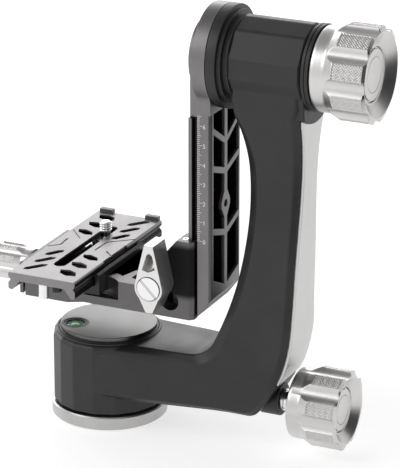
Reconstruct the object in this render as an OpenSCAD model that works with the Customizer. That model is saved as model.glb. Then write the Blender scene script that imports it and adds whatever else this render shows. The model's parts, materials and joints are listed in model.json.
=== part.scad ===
/* [Axes] */
// Height of the tilt axis above the base's bottom face
tilt_z = 200.4; // [196:0.2:210]
// Height of the pan lock's rod above the base's bottom face
pan_lock_z = 22.9; // [22:0.1:25]

/* [Pan base] */
// Radius of the base plate
base_r = 30; // [28:0.5:36]
// Thickness of the base plate
base_h = 7; // [6:0.5:9]
// Gap between the base plate and the turning housing
pan_gap = 1; // [0.5:0.1:1.5]
// Core radius of the tripod thread
tripod_thread_r = 4.1; // [2.6:0.1:4.3]
// Depth of the tripod thread
tripod_thread_l = 14; // [10:0.5:16]
// Outer radius of the threaded tripod bush
tripod_bush_r = 7; // [6:0.5:8]
// Radius of the pan spindle
spindle_r = 10; // [9:0.5:10]
// Outer radius of the pan bearings
pan_bearing_r = 22; // [19:0.5:23]
// Width of one pan bearing
pan_bearing_w = 8; // [6:0.5:9]

/* [Arm] */
// Radius of the pan housing
housing_r = 29; // [27:0.5:34]
// Height of the arm's top deck and of the pan housing
deck_z = 46; // [44:0.5:52]
// Height of the foot's underside
foot_z = 17; // [15:0.5:18]
// Half width of the arm where the foot meets the limb
foot_w = 17.5; // [15:0.5:21]
// Half width of the limb at its slimmest
limb_w = 12.2; // [10:0.2:15]
// X of the limb's inner face at its slimmest
throat_x = 83.5; // [80:0.5:90]
// Radius of the limb's curved inner face
throat_r = 181; // [150:1:240]
// Radius of the fillet between the deck and the limb
deck_fillet_r = 14; // [8:1:20]
// X of the limb's outer face at the heel
limb_x = 107.6; // [104:0.2:112]
// Outward lean of the limb's outer face up to the tilt axis
limb_lean = 4; // [0:0.5:6]
// Radius of the curved heel
heel_r = 84; // [70:1:110]
// Radius of the heel's lower corner
heel_corner_r = 8; // [5:0.5:12]
// Radius across the corners of the faceted barrel
barrel_r = 21.9; // [20:0.1:25]
// X of the barrel's outer end
barrel_x = 114.5; // [112:0.5:118]
// Thickness of the metal inlay
inlay_t = 1.5; // [1:0.1:2.5]
// Margin of the pan housing's top that shows round the cap
cap_margin = 3.2; // [1.5:0.1:4.5]
// Thickness of the pan cap's rim
cap_h = 3; // [2:0.5:5]
// Radius of the bubble level's lens
level_r = 5; // [4:0.1:6.5]
// Distance of the bubble level's middle from the pan cap's rim
level_margin = 8.4; // [7.5:0.1:11]
// Direction of the bubble level, seen from above
level_angle = 214; // [0:1:359]

/* [Tilt] */
// X of the plane between the swing rail and the arm's flange
tilt_plane_x = 66.25; // [64:0.25:68]
// Running gap between flat faces that turn on each other
face_gap = 0.2; // [0.1:0.05:0.4]
// Radius of the thrust flange and of the rail's head
flange_r = 26; // [24:0.5:29]
// Thickness of the thrust flange
flange_t = 5.2; // [4:0.2:6]
// Radius of the tilt shaft
tilt_shaft_r = 8; // [6:0.5:9]
// Outer radius of the tilt bearings
tilt_bearing_r = 15; // [13:0.5:16]
// Width of one tilt bearing
tilt_bearing_w = 8; // [6:0.5:9]
// Thickness of the friction ring at the barrel's outer end
friction_ring_t = 3.7; // [3:0.1:5]
// Core radius of the tilt shaft's knob thread
tilt_thread_r = 5; // [4:0.5:6]

/* [Swing rail] */
// Width of the rail
rail_w = 37; // [32:0.5:42]
// Thickness of the rail's main plate
rail_t = 7.3; // [6:0.1:9]
// Depth of the groove beside the dovetail
groove_d = 3.3; // [2.5:0.1:4]
// Thickness of the dovetail's edge
dovetail_t = 1.7; // [1.2:0.1:2.5]
// Height of the rail's lower end
rail_z = 67.5; // [64:0.5:70]
// Height of the bevel at the rail's lower end
rail_bevel = 9.5; // [4:0.5:12]
// Height of the zero mark of the scale, level with the carriage's top
scale_zero_z = 108.3; // [104:0.1:112]
// Length of the printed scale, which is also the carriage's travel
scale_l = 60; // [50:10:60]
// Width of the lattice's ribs
rib_w = 3.4; // [2.5:0.1:5]
// Depth of the lattice's pockets
pocket_d = 8; // [5:0.5:9]

/* [Carriage] */
// Half width of the L-shaped bracket
bracket_w = 22; // [20:0.5:26]
// Height of the bracket's underside
bracket_z = 66.3; // [64:0.1:68]
// Thickness of the bracket's deck
bracket_deck_t = 14.4; // [12:0.2:17]
// X of the upright leg's inner face
leg_x = 44; // [42:0.5:46]
// Running clearance of the dovetail in the carriage
slide_gap = 0.15; // [0.1:0.05:0.3]
// X of the lock lever's pivot
lever_x = 40.2; // [39:0.2:42]
// Height of the lock lever's pivot
lever_z = 85.6; // [84:0.2:87]
// Thickness of the lock lever
lever_t = 14; // [10:0.5:16]
// Radius of the lever's hub
lever_hub_r = 7.6; // [6.5:0.1:8.5]
// Length of the lever from its pivot to its upper end
lever_l = 23; // [18:0.5:27]

/* [Plate clamp] */
// X of the clamp's centre line
clamp_x = -13.45; // [-16:0.05:-11]
// Half length of the clamp along the plate
clamp_w = 25.7; // [20:0.1:32]
// Radius of the clamp knob
clamp_knob_r = 9.5; // [8:0.5:11]
// Length of the clamp knob
clamp_knob_l = 20; // [14:0.5:24]

/* [Quick release plate] */
// Length of the plate
plate_l = 100; // [70:1:120]
// Width of the plate
plate_w = 37.5; // [36:0.1:40]
// Height of the plate's top face above the base's bottom face
plate_z = 87.35; // [87:0.05:89]
// Thickness of the plate's web
plate_t = 4.3; // [3.5:0.1:5]
// Height of the plate's side flanges
plate_h = 9.2; // [8.5:0.1:10]
// Y of the plate's middle
plate_y = 2; // [-10:0.5:10]
// Width of the slot for the camera screw
slot_w = 6.8; // [6.6:0.1:8]
// Outer radius of the camera screw's thread
camera_thread_r = 3.175; // [3.1:0.005:3.2]

/* [Knobs] */
// Radius of the tilt knob
tilt_knob_r = 24; // [20:0.5:27]
// Length of the tilt knob
tilt_knob_l = 29.1; // [24:0.1:34]
// Radius of the pan knob
pan_knob_r = 20.4; // [17:0.2:24]
// Length of the pan knob
pan_knob_l = 27.1; // [22:0.1:32]
// X of the pan knob's inner end
pan_knob_x = 107; // [105.5:0.5:112]
// Number of flutes round the tilt knob
tilt_flutes = 9; // [6:1:10]
// Number of flutes round the pan knob and the clamp knob
pan_flutes = 8; // [6:1:10]

/* [Hidden] */

$fn = 64;
// A small length by which a cutter runs past the face that it cuts
eps = 0.5;
// Radial clearance of a running fit, and of a screw thread
run_gap = 0.05;

// Heights in the pan housing
housing_z = base_h + pan_gap;
spindle_flange_t = 4;
lower_bearing_z = base_h + spindle_flange_t;
drum_z = lower_bearing_z + pan_bearing_w;
drum_h = 2 * (pan_lock_z - drum_z) + 4;
drum_r = 14;
upper_bearing_z = drum_z + drum_h;
ring_nut_z = upper_bearing_z + pan_bearing_w;
ring_nut_h = 3.2;
ring_nut_r = 15;
spindle_thread_r = 8;
shoulder_r = pan_bearing_r - 2;
cap_r = housing_r - cap_margin;
spindle_flange_r = pan_bearing_r - 0.3 * (pan_bearing_r - spindle_r) - 0.4;
spindle_screw_pcr = (spindle_r + spindle_flange_r) / 2;
spindle_screw_r = 2;
spindle_screw_head_r = 3.6;
spindle_screw_head_h = 3;
screw_count = 4;

// Outline of the arm, seen along Y
throat_z = 131;
throat_cx = throat_x - throat_r;
heel_z = 70;
heel_cx = limb_x - heel_r;
corner_cz = foot_z + heel_corner_r;
corner_cx = heel_cx + sqrt(pow(heel_r - heel_corner_r, 2) - pow(heel_z - corner_cz, 2));
corner_a = atan2(corner_cz - heel_z, corner_cx - heel_cx);
fillet_cz = deck_z + deck_fillet_r;
fillet_cx = throat_cx + sqrt(pow(throat_r - deck_fillet_r, 2) - pow(throat_z - fillet_cz, 2));
fillet_a = atan2(fillet_cz - throat_z, fillet_cx - throat_cx);
throat_top_z = tilt_z - barrel_r - 1.5;
throat_top_a = asin((throat_top_z - throat_z) / throat_r);
arc_steps = 7;
// Height above which the arm's plan no longer bounds its width
plan_top_z = 90;
// Corners of the pan housing's outline, from the arm's direction
housing_corners = [12, 35, 58, 80.5, 103.6, 123, 144.5, 167];
// Corners of the barrel's outline, from the vertical
barrel_corners = [5.5, 36.5, 76.5, 101.5, 140, 174];

// The inlay stops short of the limb's edges
inlay_margin = 3.9;
inlay_z0 = 34;
inlay_z1 = throat_top_z;

// Knobs: direction of the first flute from the vertical, and the dish of the face
flute_a = 94;
dish_share = 0.14;
cap_share = 0.57;

// Layers of the bubble level
level_cup_t = 1;
level_z = deck_z + 0.3;
level_fluid_z = level_z + 0.6;
level_lens_z = deck_z + cap_h - 1.2;

// Parts of the tilt bearing, along X
flange_x = tilt_plane_x + flange_t;
flange_step_t = 1.8;
flange_step_r = flange_r - 2.5;
flange_groove_t = 1.8;
flange_groove_r = flange_r - 5.5;
barrel_in_x = flange_x + flange_step_t + flange_groove_t;
saddle_r = 28;
inner_bearing_x = flange_x + 1;
outer_bearing_x = barrel_x - 6.5 - tilt_bearing_w;
friction_ring_x = barrel_x + friction_ring_t;
friction_ring_r = barrel_r - 0.2;
tilt_knob_x = friction_ring_x + 0.3;
washer_t = 2.4;
washer_r = 13.5;
shaft_step_x = barrel_x + 1.5;

// The pan lock, along X
rod_r = 3;
shoe_r = 3.4;
shoe_l = 4;
shoe_x = drum_r + 0.15;
socket_r = 8.5;
socket_x = 88;
socket_l = 10.3;
stud_r = 4;
stud_collar_r = 5.6;
rod_end_x = socket_x + 1;

// The rail's layers, along X
rail_face_x = tilt_plane_x - face_gap;
rail_back_x = rail_face_x - rail_t;
dovetail_in_x = rail_back_x - groove_d;
dovetail_x = dovetail_in_x - dovetail_t;
dovetail_w = rail_w / 2 - 0.5;
neck_x = dovetail_in_x + groove_d * 0.4;
neck_w = dovetail_w - 2;
dovetail_top_z = 171.5;
dovetail_head_z = 190;
shaft_head_r = neck_w - 2;
shaft_head_t = 5;
shaft_screw_r = 1.5;
shaft_screw_head_r = 2.9;
shaft_screw_pcr = shaft_head_r - shaft_screw_head_r - 0.3;
rail_stop_r = 1.6;
rail_stop_l = 6;
rail_stop_head_r = 2.4;
rail_stop_head_h = 1.8;

// Slanted ribs of the lattice: heights at the middle rib, and their rise to the left and the right edge
rib_node_z = [79, 108.5, 141, 157];
rib_rise = [[6, 4, 4.5, 8], [5, 5, 5, 8]];
lattice_top_z = 174;
lattice_border = [3.9, 3];
boss_z = 123.3;
boss_w = 5;
boss_l = 7;
boss_bore_r = 1.9;
rail_chamfer = [1.2, 1.9];

// The carriage: a deck with an upright ear at each side, which hold the dovetail between them
carriage_top_z = scale_zero_z - 0.5;
bracket_top_z = bracket_z + bracket_deck_t;
ear_t = 12;
leg_out_x = rail_back_x - 0.75;
leg_chamfer = 2.6;
leg_wall_z = bracket_z + 32;
bore_r = 4.85;
rail_jaw_x = lever_x - lever_hub_r;
rail_jaw_y = dovetail_w + 1;
rail_jaw_t = 5.6;
rail_jaw_z0 = bracket_z + 4;
rail_jaw_z1 = carriage_top_z - 14;
low_stop_z = rail_z + 3.2;
high_stop_z = leg_wall_z + scale_l + 0.5 + rail_stop_head_r;
lock_bolt_r = 3;
leg_screw_x = leg_x + 7.8;
leg_screw_y = 5.6 - bracket_w;
leg_screw_r = 1.7;
leg_screw_l = 12;
lever_y = -bracket_w - lever_t;
lever_screw_r = lever_hub_r - 1.2;
lever_screw_gap = 0.35;
lever_slot_w = 1.3;
guide_pin_r = 2;
guide_pin_seat = 10;
guide_pin_reach = 5;
spring_r = 3.1;

// The plate and its clamp
clamp_floor_z = plate_z - plate_h - 1.5;
plate_bottom_z = plate_z - plate_h;
plate_neck = 1.3;
plate_neck_z = plate_z - 4;
plate_edge_z = plate_neck_z - plate_neck - 0.3;
clamp_gap = 0.12;
grip = plate_w / 2;
clamp_jaw_t = 5.6;
clamp_strip_t = 1.9;
fixed_jaw_t = 2.3;
fixed_jaw_foot = 8;
fixed_jaw_floor_z = clamp_floor_z - 3.5;
clamp_block_x = clamp_x - grip - 2.6;
clamp_ridge_w = 9.5;
clamp_ridge_z = plate_bottom_z + 1;
clamp_screw_z = bracket_z + 6.5;
clamp_screw_r = 3;
clamp_screw_l = 30;
clamp_collar_r = 4.6;
clamp_jaw_x = clamp_x - grip - clamp_jaw_t;
clamp_knob_x = clamp_jaw_x - 4.9;
clamp_pin_y = 15;
clamp_pin_l = 14;
spring_l = 8;
fixed_jaw_x = clamp_x + grip + fixed_jaw_t;
jaw_screw_r = 1.5;
jaw_screw_head_r = 2.9;
jaw_screw_head_h = 3;
jaw_screw_y = [-19, 0, 19];
jaw_screw_x = clamp_x + grip - 3;
stop_pin_r = 2.7;
stop_pin_x = clamp_x - 10.8;
stop_pin_top_z = clamp_floor_z - 2.3;
slot_y0 = plate_y - 29;
slot_y1 = plate_y + 28;
camera_y = plate_y + 22;
camera_head_t = 2.4;
camera_head_r = 7.5;
camera_neck_r = 2.6;
camera_thread_z = plate_z + 0.3;
camera_thread_l = 5.9;
camera_washer_r = slot_w / 2 + 2.6;
washer_step_r = camera_washer_r + 0.4;
tab_w = 7.6;
tab_t = 3.2;
tab_h = 1.9;
tab_x = 13.3;
tab_seat = 1.5;
plate_stop_x = 5;
plate_stop_in = 7;
plate_stop_r = 1.5;
window_pitch = [plate_l * 0.11, plate_l * 0.12];
notch_l = plate_l * 0.26;
notch_d = 0.8;
notch_h = 2;
groove_w = 0.9;
groove_h = 0.6;

function arc(cx, cy, r, a0, a1) =
    [for (i = [0 : arc_steps]) let (a = a0 + (a1 - a0) * i / arc_steps) [cx + r * cos(a), cy + r * sin(a)]];
function mirrored(p) = concat(p, [for (i = [len(p) - 1 : -1 : 0]) [-p[i][0], p[i][1]]]);

// A solid whose outline is drawn in Y and Z and runs from x0 to x1
module along_x(x0, x1) {
    translate([x0, 0, 0]) rotate([90, 0, 90]) linear_extrude(x1 - x0) children();
}

// A solid whose outline is drawn in X and Z and runs from y0 to y1
module along_y(y0, y1) {
    translate([0, y1, 0]) rotate([90, 0, 0]) linear_extrude(y1 - y0) children();
}

module x_rod(x0, x1, r) {
    translate([x0, 0, 0]) rotate([0, 90, 0]) cylinder(h = x1 - x0, r = r);
}

module y_rod(y0, y1, r) {
    translate([0, y0, 0]) rotate([-90, 0, 0]) cylinder(h = y1 - y0, r = r);
}

module z_rod(z0, z1, r) {
    translate([0, 0, z0]) cylinder(h = z1 - z0, r = r);
}

module z_ring(z0, z1, r_in, r_out) {
    difference() {
        z_rod(z0, z1, r_out);
        z_rod(z0 - eps, z1 + eps, r_in);
    }
}

module x_ring(x0, x1, r_in, r_out) {
    difference() {
        x_rod(x0, x1, r_out);
        x_rod(x0 - eps, x1 + eps, r_in);
    }
}

module at_tilt() {
    translate([0, 0, tilt_z]) children();
}

module at_pan_lock() {
    translate([0, 0, pan_lock_z]) children();
}

// Ball bearing about Z: the balls are held by the inner race, and the outer race has their groove
module inner_race(r_in, r_out, w) {
    span = r_out - r_in;
    ball_r = span * 0.28;
    z_ring(0, w, r_in, r_in + span * 0.3);
    for (i = [0 : 11]) rotate([0, 0, 30 * i]) translate([(r_in + r_out) / 2, 0, w / 2]) sphere(r = ball_r);
}

module outer_race(r_in, r_out, w) {
    span = r_out - r_in;
    ball_r = span * 0.28;
    difference() {
        z_ring(0, w, r_out - span * 0.3, r_out);
        translate([0, 0, w / 2]) rotate_extrude() translate([(r_in + r_out) / 2, 0]) circle(r = ball_r + 0.1);
    }
}

// ---- pan base -------------------------------------------------------------------------------------------

module spindle_screw_places() {
    for (i = [0 : screw_count - 1]) rotate([0, 0, 360 / screw_count * (i + 0.5)])
        translate([spindle_screw_pcr, 0, 0]) children();
}

module base_plate() {
    color("silver") difference() {
        rotate_extrude() polygon([[0, 0], [base_r - 0.8, 0], [base_r, 0.8], [base_r, base_h - 0.6],
            [base_r - 0.6, base_h], [0, base_h]]);
        z_rod(-eps, base_h + eps, tripod_bush_r);
        spindle_screw_places() z_rod(-eps, base_h + eps, spindle_screw_r);
        spindle_screw_places() z_rod(-eps, spindle_screw_head_h + 0.5, spindle_screw_head_r);
    }
}

module tripod_bush() {
    color("gray") z_ring(0, tripod_thread_l, tripod_thread_r, tripod_bush_r);
}

module pan_spindle() {
    color("lightgray") difference() {
        union() {
            z_rod(base_h, lower_bearing_z, spindle_flange_r);
            z_rod(base_h, ring_nut_z, spindle_r);
            z_rod(base_h, ring_nut_z + ring_nut_h, spindle_thread_r);
        }
        z_rod(base_h - eps, tripod_thread_l, tripod_bush_r);
        spindle_screw_places() z_rod(base_h - eps, lower_bearing_z + eps, spindle_screw_r);
    }
}

module spindle_screws() {
    color("dimgray") spindle_screw_places() {
        z_rod(0.5, spindle_screw_head_h + 0.5, spindle_screw_head_r);
        z_rod(0.5, lower_bearing_z - 0.4, spindle_screw_r);
    }
}

module pan_brake_drum() {
    color("darkgoldenrod") z_ring(drum_z, upper_bearing_z, spindle_r, drum_r);
}

module pan_lower_inner_race() {
    color("lightgray") translate([0, 0, lower_bearing_z]) inner_race(spindle_r, pan_bearing_r, pan_bearing_w);
}

module pan_upper_inner_race() {
    color("lightgray") translate([0, 0, upper_bearing_z]) inner_race(spindle_r, pan_bearing_r, pan_bearing_w);
}

module pan_ring_nut() {
    color("dimgray") z_ring(ring_nut_z, ring_nut_z + ring_nut_h, spindle_thread_r, ring_nut_r);
}

// ---- arm ------------------------------------------------------------------------------------------------

// The arm's side outline without its barrel, grown outwards at the limb's outer face by "grow"
function arm_outline(grow) = concat(
    [[0, foot_z]],
    arc(corner_cx, corner_cz, heel_corner_r + grow, -90, corner_a),
    arc(heel_cx, heel_z, heel_r + grow, corner_a, 0),
    [[limb_x + limb_lean + grow, tilt_z - barrel_r], [limb_x + limb_lean, tilt_z]],
    [[barrel_in_x, tilt_z], [barrel_in_x, throat_top_z + 1.5]],
    arc(throat_cx, throat_z, throat_r, throat_top_a, fillet_a),
    arc(fillet_cx, fillet_cz, deck_fillet_r, fillet_a, -90),
    [[0, deck_z]]
);

// The arm's half width against height, seen along X
function limb_outline(inset) = mirrored([
    [housing_r - inset, foot_z - eps], [housing_r - inset, deck_z + 1], [foot_w - inset, deck_z + 19],
    [foot_w - 1.5 - inset, 80], [(foot_w + limb_w) / 2 - inset, 102], [limb_w + 0.3 - inset, 130],
    [limb_w - inset, 150], [limb_w + 2 - inset, 165], [barrel_r - 3.5 - inset, 178],
    [barrel_r - inset, 186], [barrel_r - inset, tilt_z]
]);

module arm_plan() {
    plan = [[0, housing_r], [5, housing_r], [throat_x - 14, foot_w], [limb_x + 20, foot_w]];
    polygon(concat(plan, [for (i = [len(plan) - 1 : -1 : 0]) [plan[i][0], -plan[i][1]]]));
}

module housing() {
    outline = [for (a = housing_corners) [housing_r * sin(a), housing_r * cos(a)]];
    translate([0, 0, housing_z]) rotate([0, 0, -90]) linear_extrude(deck_z - housing_z) polygon(mirrored(outline));
}

module barrel() {
    at_tilt() along_x(barrel_in_x, barrel_x)
        polygon(mirrored([for (a = barrel_corners) [barrel_r * sin(a), barrel_r * cos(a)]]));
}

module arm_body() {
    housing();
    barrel();
    intersection() {
        along_y(-housing_r, housing_r) polygon(arm_outline(0));
        along_x(-eps, barrel_x) polygon(limb_outline(0));
        union() {
            translate([0, 0, foot_z - eps]) linear_extrude(plan_top_z + 2 * eps - foot_z) arm_plan();
            translate([0, -housing_r, plan_top_z]) cube([barrel_x, 2 * housing_r, tilt_z - plan_top_z]);
        }
    }
    // Saddle that closes the inlay's upper end
    intersection() {
        at_tilt() x_rod(limb_x, barrel_x, saddle_r);
        along_x(limb_x, barrel_x) polygon(limb_outline(0));
    }
}

module arm() {
    color("dimgray") difference() {
        arm_body();
        z_rod(housing_z - eps, deck_z + eps, shoulder_r);
        z_rod(housing_z - eps, drum_z, pan_bearing_r);
        z_rod(upper_bearing_z, deck_z + eps, pan_bearing_r);
        at_pan_lock() x_rod(shoulder_r - 2, socket_x + eps, rod_r + run_gap);
        at_pan_lock() x_rod(socket_x, socket_x + socket_l + 10, socket_r);
        at_tilt() x_rod(inner_bearing_x, inner_bearing_x + tilt_bearing_w, tilt_bearing_r);
        at_tilt() x_rod(barrel_in_x, barrel_x, tilt_bearing_r - 2);
        at_tilt() x_rod(outer_bearing_x, barrel_x + eps, tilt_bearing_r);
    }
}

module arm_inlay() {
    color("silver") difference() {
        intersection() {
            along_y(-housing_r, housing_r) polygon(arm_outline(inlay_t));
            along_x(throat_x, barrel_x + inlay_t) polygon(limb_outline(inlay_margin));
            translate([throat_x + 6, inlay_margin - foot_w, inlay_z0])
                cube([heel_r, 2 * (foot_w - inlay_margin), inlay_z1 - inlay_z0]);
        }
        along_y(-housing_r, housing_r) polygon(arm_outline(0));
        at_tilt() x_rod(limb_x, barrel_x + inlay_t + eps, saddle_r);
    }
}

module thrust_flange() {
    color("gray") at_tilt() {
        x_ring(tilt_plane_x, flange_x, tilt_shaft_r + 0.5, flange_r);
        x_ring(flange_x, flange_x + flange_step_t, tilt_bearing_r, flange_step_r);
        x_ring(flange_x, barrel_in_x, tilt_bearing_r, flange_groove_r);
    }
}

module friction_ring() {
    color("black") at_tilt() x_ring(barrel_x, friction_ring_x, tilt_shaft_r + 0.5, friction_ring_r);
}

module at_level() {
    rotate([0, 0, level_angle]) translate([cap_r - level_margin, 0, 0]) children();
}

module pan_cap() {
    color("gray") difference() {
        union() {
            z_rod(deck_z, deck_z + cap_h, cap_r);
            z_rod(deck_z - 1.5, deck_z, pan_bearing_r);
        }
        at_level() z_rod(level_z, deck_z + cap_h + eps, level_r + level_cup_t);
    }
}

module level_cup() {
    color("black") at_level() difference() {
        z_rod(level_z, deck_z + cap_h - 0.2, level_r + level_cup_t);
        z_rod(level_fluid_z, deck_z + cap_h, level_r);
    }
}

module level_fluid() {
    color("limegreen") at_level() z_rod(level_fluid_z, level_lens_z, level_r);
}

module level_lens() {
    color("lightgreen") at_level() z_rod(level_lens_z, deck_z + cap_h - 0.4, level_r);
}

module pan_lower_outer_race() {
    color("lightgray") translate([0, 0, lower_bearing_z]) outer_race(spindle_r, pan_bearing_r, pan_bearing_w);
}

module pan_upper_outer_race() {
    color("lightgray") translate([0, 0, upper_bearing_z]) outer_race(spindle_r, pan_bearing_r, pan_bearing_w);
}

module at_inner_bearing() {
    at_tilt() translate([inner_bearing_x, 0, 0]) rotate([0, 90, 0]) children();
}

module at_outer_bearing() {
    at_tilt() translate([outer_bearing_x, 0, 0]) rotate([0, 90, 0]) children();
}

module tilt_inner_end_outer_race() {
    color("lightgray") at_inner_bearing() outer_race(tilt_shaft_r, tilt_bearing_r, tilt_bearing_w);
}

module tilt_outer_end_outer_race() {
    color("lightgray") at_outer_bearing() outer_race(tilt_shaft_r, tilt_bearing_r, tilt_bearing_w);
}

module pan_lock_socket() {
    color("black") at_pan_lock() x_ring(socket_x, socket_x + socket_l, stud_r + run_gap, socket_r);
}

// ---- pan lock -------------------------------------------------------------------------------------------

module pan_lock_rod() {
    color("lightgray") at_pan_lock() x_rod(shoe_x + shoe_l - 2, rod_end_x, rod_r);
}

module pan_brake_shoe() {
    color("peru") at_pan_lock() difference() {
        x_rod(shoe_x - 2, shoe_x + shoe_l, shoe_r);
        x_rod(shoe_x + shoe_l - 2, shoe_x + shoe_l + eps, rod_r);
        translate([0, 0, -shoe_r - eps]) z_rod(0, 2 * shoe_r + 2 * eps, drum_r + 0.15);
    }
}

// A fluted knob about the X axis: "r" is its body's radius and "l" its length
module knob(x0, r, l, bore_r, recess_r, recess_d, flutes, flute_r, flute_depth) {
    dish_d = l * dish_share;
    translate([x0, 0, 0]) difference() {
        rotate([0, 90, 0]) rotate_extrude() polygon([
            [bore_r, recess_d], [recess_r, recess_d], [recess_r, 0], [r * 0.875, 0], [r * 0.89, l * 0.05],
            [r * 0.89, l * 0.25], [r, l * 0.42], [r, l * 0.97], [r * 0.95, l], [r * 0.92, l],
            [r * 0.62, l - dish_d], [r * cap_share, l - dish_d], [r * cap_share, l - dish_d - 2],
            [bore_r, l - dish_d - 2]
        ]);
        for (i = [0 : flutes - 1]) rotate([flute_a + 360 / flutes * i, 0, 0])
            translate([0, 0, r + flute_r - flute_depth]) x_rod(l * 0.2, l + eps, flute_r);
    }
}

module knob_cap(x0, r, l) {
    dish_d = l * dish_share;
    translate([x0, 0, 0]) {
        x_rod(l - dish_d - 2, l - dish_d - 0.6, r * cap_share - 0.05);
        x_rod(l - dish_d - 1, l - dish_d + 0.5, r * cap_share - 0.8);
    }
}

module pan_knob() {
    color("silver") at_pan_lock() knob(pan_knob_x, pan_knob_r, pan_knob_l, stud_r, stud_collar_r + 0.5, 1.5,
        pan_flutes, pan_knob_r * 0.32, pan_knob_r * 0.124);
}

module pan_knob_cap() {
    color("lightgray") at_pan_lock() knob_cap(pan_knob_x, pan_knob_r, pan_knob_l);
}

module pan_knob_stud() {
    color("white") at_pan_lock() {
        x_rod(rod_end_x + 0.1, pan_knob_x + pan_knob_l * (1 - dish_share) - 2, stud_r);
        x_rod(socket_x + socket_l + 0.3, pan_knob_x + 1.5, stud_collar_r);
    }
}

// ---- swing rail -----------------------------------------------------------------------------------------

// One pocket of the lattice between two slanted ribs, on the side "s" of the middle rib
module pocket(s, i) {
    side = s < 0 ? 0 : 1;
    inner = rib_w / 2;
    outer = rail_w / 2 - lattice_border[side];
    half = rib_w / 2;
    last = i == len(rib_node_z) - 1;
    low = rib_node_z[i] + half;
    low_rise = rib_rise[side][i];
    high = last ? lattice_top_z : rib_node_z[i + 1] - half;
    high_rise = last ? 0 : rib_rise[side][i + 1];
    polygon([[s * inner, low], [s * outer, low + low_rise], [s * outer, high + high_rise], [s * inner, high]]);
}

// Boss on the middle rib, with a bore
module boss_outline() {
    half = rib_w / 2;
    translate([0, boss_z]) polygon([[-half, -boss_l], [half, -boss_l], [boss_w, -half], [boss_w, half],
        [half, boss_l], [-half, boss_l], [-boss_w, half], [-boss_w, -half]]);
}

module rail_plate_outline() {
    half = rail_w / 2;
    flare = 10;
    flare_z = sqrt(pow(flange_r + flare, 2) - pow(half + flare, 2));
    tangent = flange_r / (flange_r + flare);
    difference() {
        union() {
            translate([0, tilt_z]) circle(r = flange_r);
            translate([-half, rail_z]) square([rail_w, tilt_z - rail_z]);
            translate([-(half + flare) * tangent, tilt_z - flare_z])
                square([2 * (half + flare) * tangent, flare_z * (1 - tangent)]);
        }
        for (s = [-1, 1]) translate([s * (half + flare), tilt_z - flare_z]) circle(r = flare);
    }
}

module swing_rail() {
    color("dimgray") difference() {
        union() {
            along_x(rail_back_x, rail_face_x) rail_plate_outline();
            // Dovetail that the carriage slides on, with its groove
            translate([0, 0, rail_z]) linear_extrude(dovetail_top_z - rail_z) polygon([
                [dovetail_x, -dovetail_w], [dovetail_in_x, -dovetail_w], [neck_x, -neck_w],
                [rail_back_x + 1, -neck_w], [rail_back_x + 1, neck_w], [neck_x, neck_w],
                [dovetail_in_x, dovetail_w], [dovetail_x, dovetail_w]
            ]);
            along_x(dovetail_x, rail_back_x + 1) translate([-neck_w, rail_z]) square([2 * neck_w, tilt_z - rail_z]);
            // Round back of the head
            at_tilt() x_rod(dovetail_x, rail_back_x + 1, neck_w);
            difference() {
                at_tilt() x_rod(dovetail_x, dovetail_in_x, dovetail_w);
                translate([dovetail_x - eps, -dovetail_w, dovetail_top_z])
                    cube([groove_d + dovetail_t, 2 * dovetail_w, dovetail_head_z - dovetail_top_z]);
            }
        }
        along_y(-rail_w, rail_w) polygon([
            [rail_back_x, rail_z], [rail_face_x + eps, rail_z + rail_bevel * (1 + eps / rail_t)],
            [rail_face_x + eps, rail_z - eps], [rail_back_x, rail_z - eps]
        ]);
        along_x(rail_face_x - pocket_d, rail_face_x + eps) difference() {
            for (s = [-1, 1]) for (i = [0 : len(rib_node_z) - 1]) pocket(s, i);
            boss_outline();
        }
        translate([0, 0, boss_z]) x_rod(rail_face_x - pocket_d, rail_face_x + eps, boss_bore_r);
        // Chamfers beside the lattice
        for (s = [-1, 1]) translate([rail_face_x, s * rail_w / 2, rail_z - eps])
            linear_extrude(lattice_top_z - rail_z + eps) polygon([[-rail_chamfer[0], eps * s],
                [-rail_chamfer[0], 0], [0, -s * rail_chamfer[1]], [eps, -s * rail_chamfer[1]], [eps, eps * s]]);
        // Seat and bore of the tilt shaft, and its screws
        at_tilt() x_rod(dovetail_x - eps, rail_face_x + eps, tilt_shaft_r);
        at_tilt() x_rod(dovetail_x - eps, dovetail_x + shaft_head_t, shaft_head_r);
        shaft_screw_places() x_rod(dovetail_x, rail_face_x - 1.5, shaft_screw_r);
        rail_stop_places() x_rod(dovetail_x - eps, dovetail_x + rail_stop_l, rail_stop_r);
    }
}

module shaft_screw_places() {
    at_tilt() for (i = [0 : screw_count - 1]) rotate([360 / screw_count * (i + 0.5), 0, 0])
        translate([0, 0, shaft_screw_pcr]) children();
}

module rail_stop_places() {
    for (z = [low_stop_z, high_stop_z]) translate([0, 0, z]) children();
}

module tilt_shaft() {
    color("lightgray") at_tilt() difference() {
        union() {
            x_rod(dovetail_x, dovetail_x + shaft_head_t, shaft_head_r);
            x_rod(dovetail_x, shaft_step_x, tilt_shaft_r);
            x_rod(dovetail_x, tilt_knob_x + tilt_knob_l * (1 - dish_share) - 2.3, tilt_thread_r);
        }
        translate([0, 0, -tilt_z]) shaft_screw_places() x_rod(dovetail_x - eps, dovetail_x + 8, shaft_screw_r);
        translate([0, 0, -tilt_z]) shaft_screw_places() x_rod(dovetail_x - eps, dovetail_x + 2, shaft_screw_head_r);
        x_rod(dovetail_x - eps, dovetail_x + 4, 4);
    }
}

module shaft_screws() {
    color("dimgray") shaft_screw_places() {
        difference() {
            x_rod(dovetail_x + 0.2, dovetail_x + 2, shaft_screw_head_r);
            x_rod(dovetail_x, dovetail_x + 1.2, 1.3);
        }
        x_rod(dovetail_x + 1.5, rail_face_x - 1.5, shaft_screw_r);
    }
}

module tilt_inner_end_inner_race() {
    color("lightgray") at_inner_bearing() inner_race(tilt_shaft_r, tilt_bearing_r, tilt_bearing_w);
}

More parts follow.
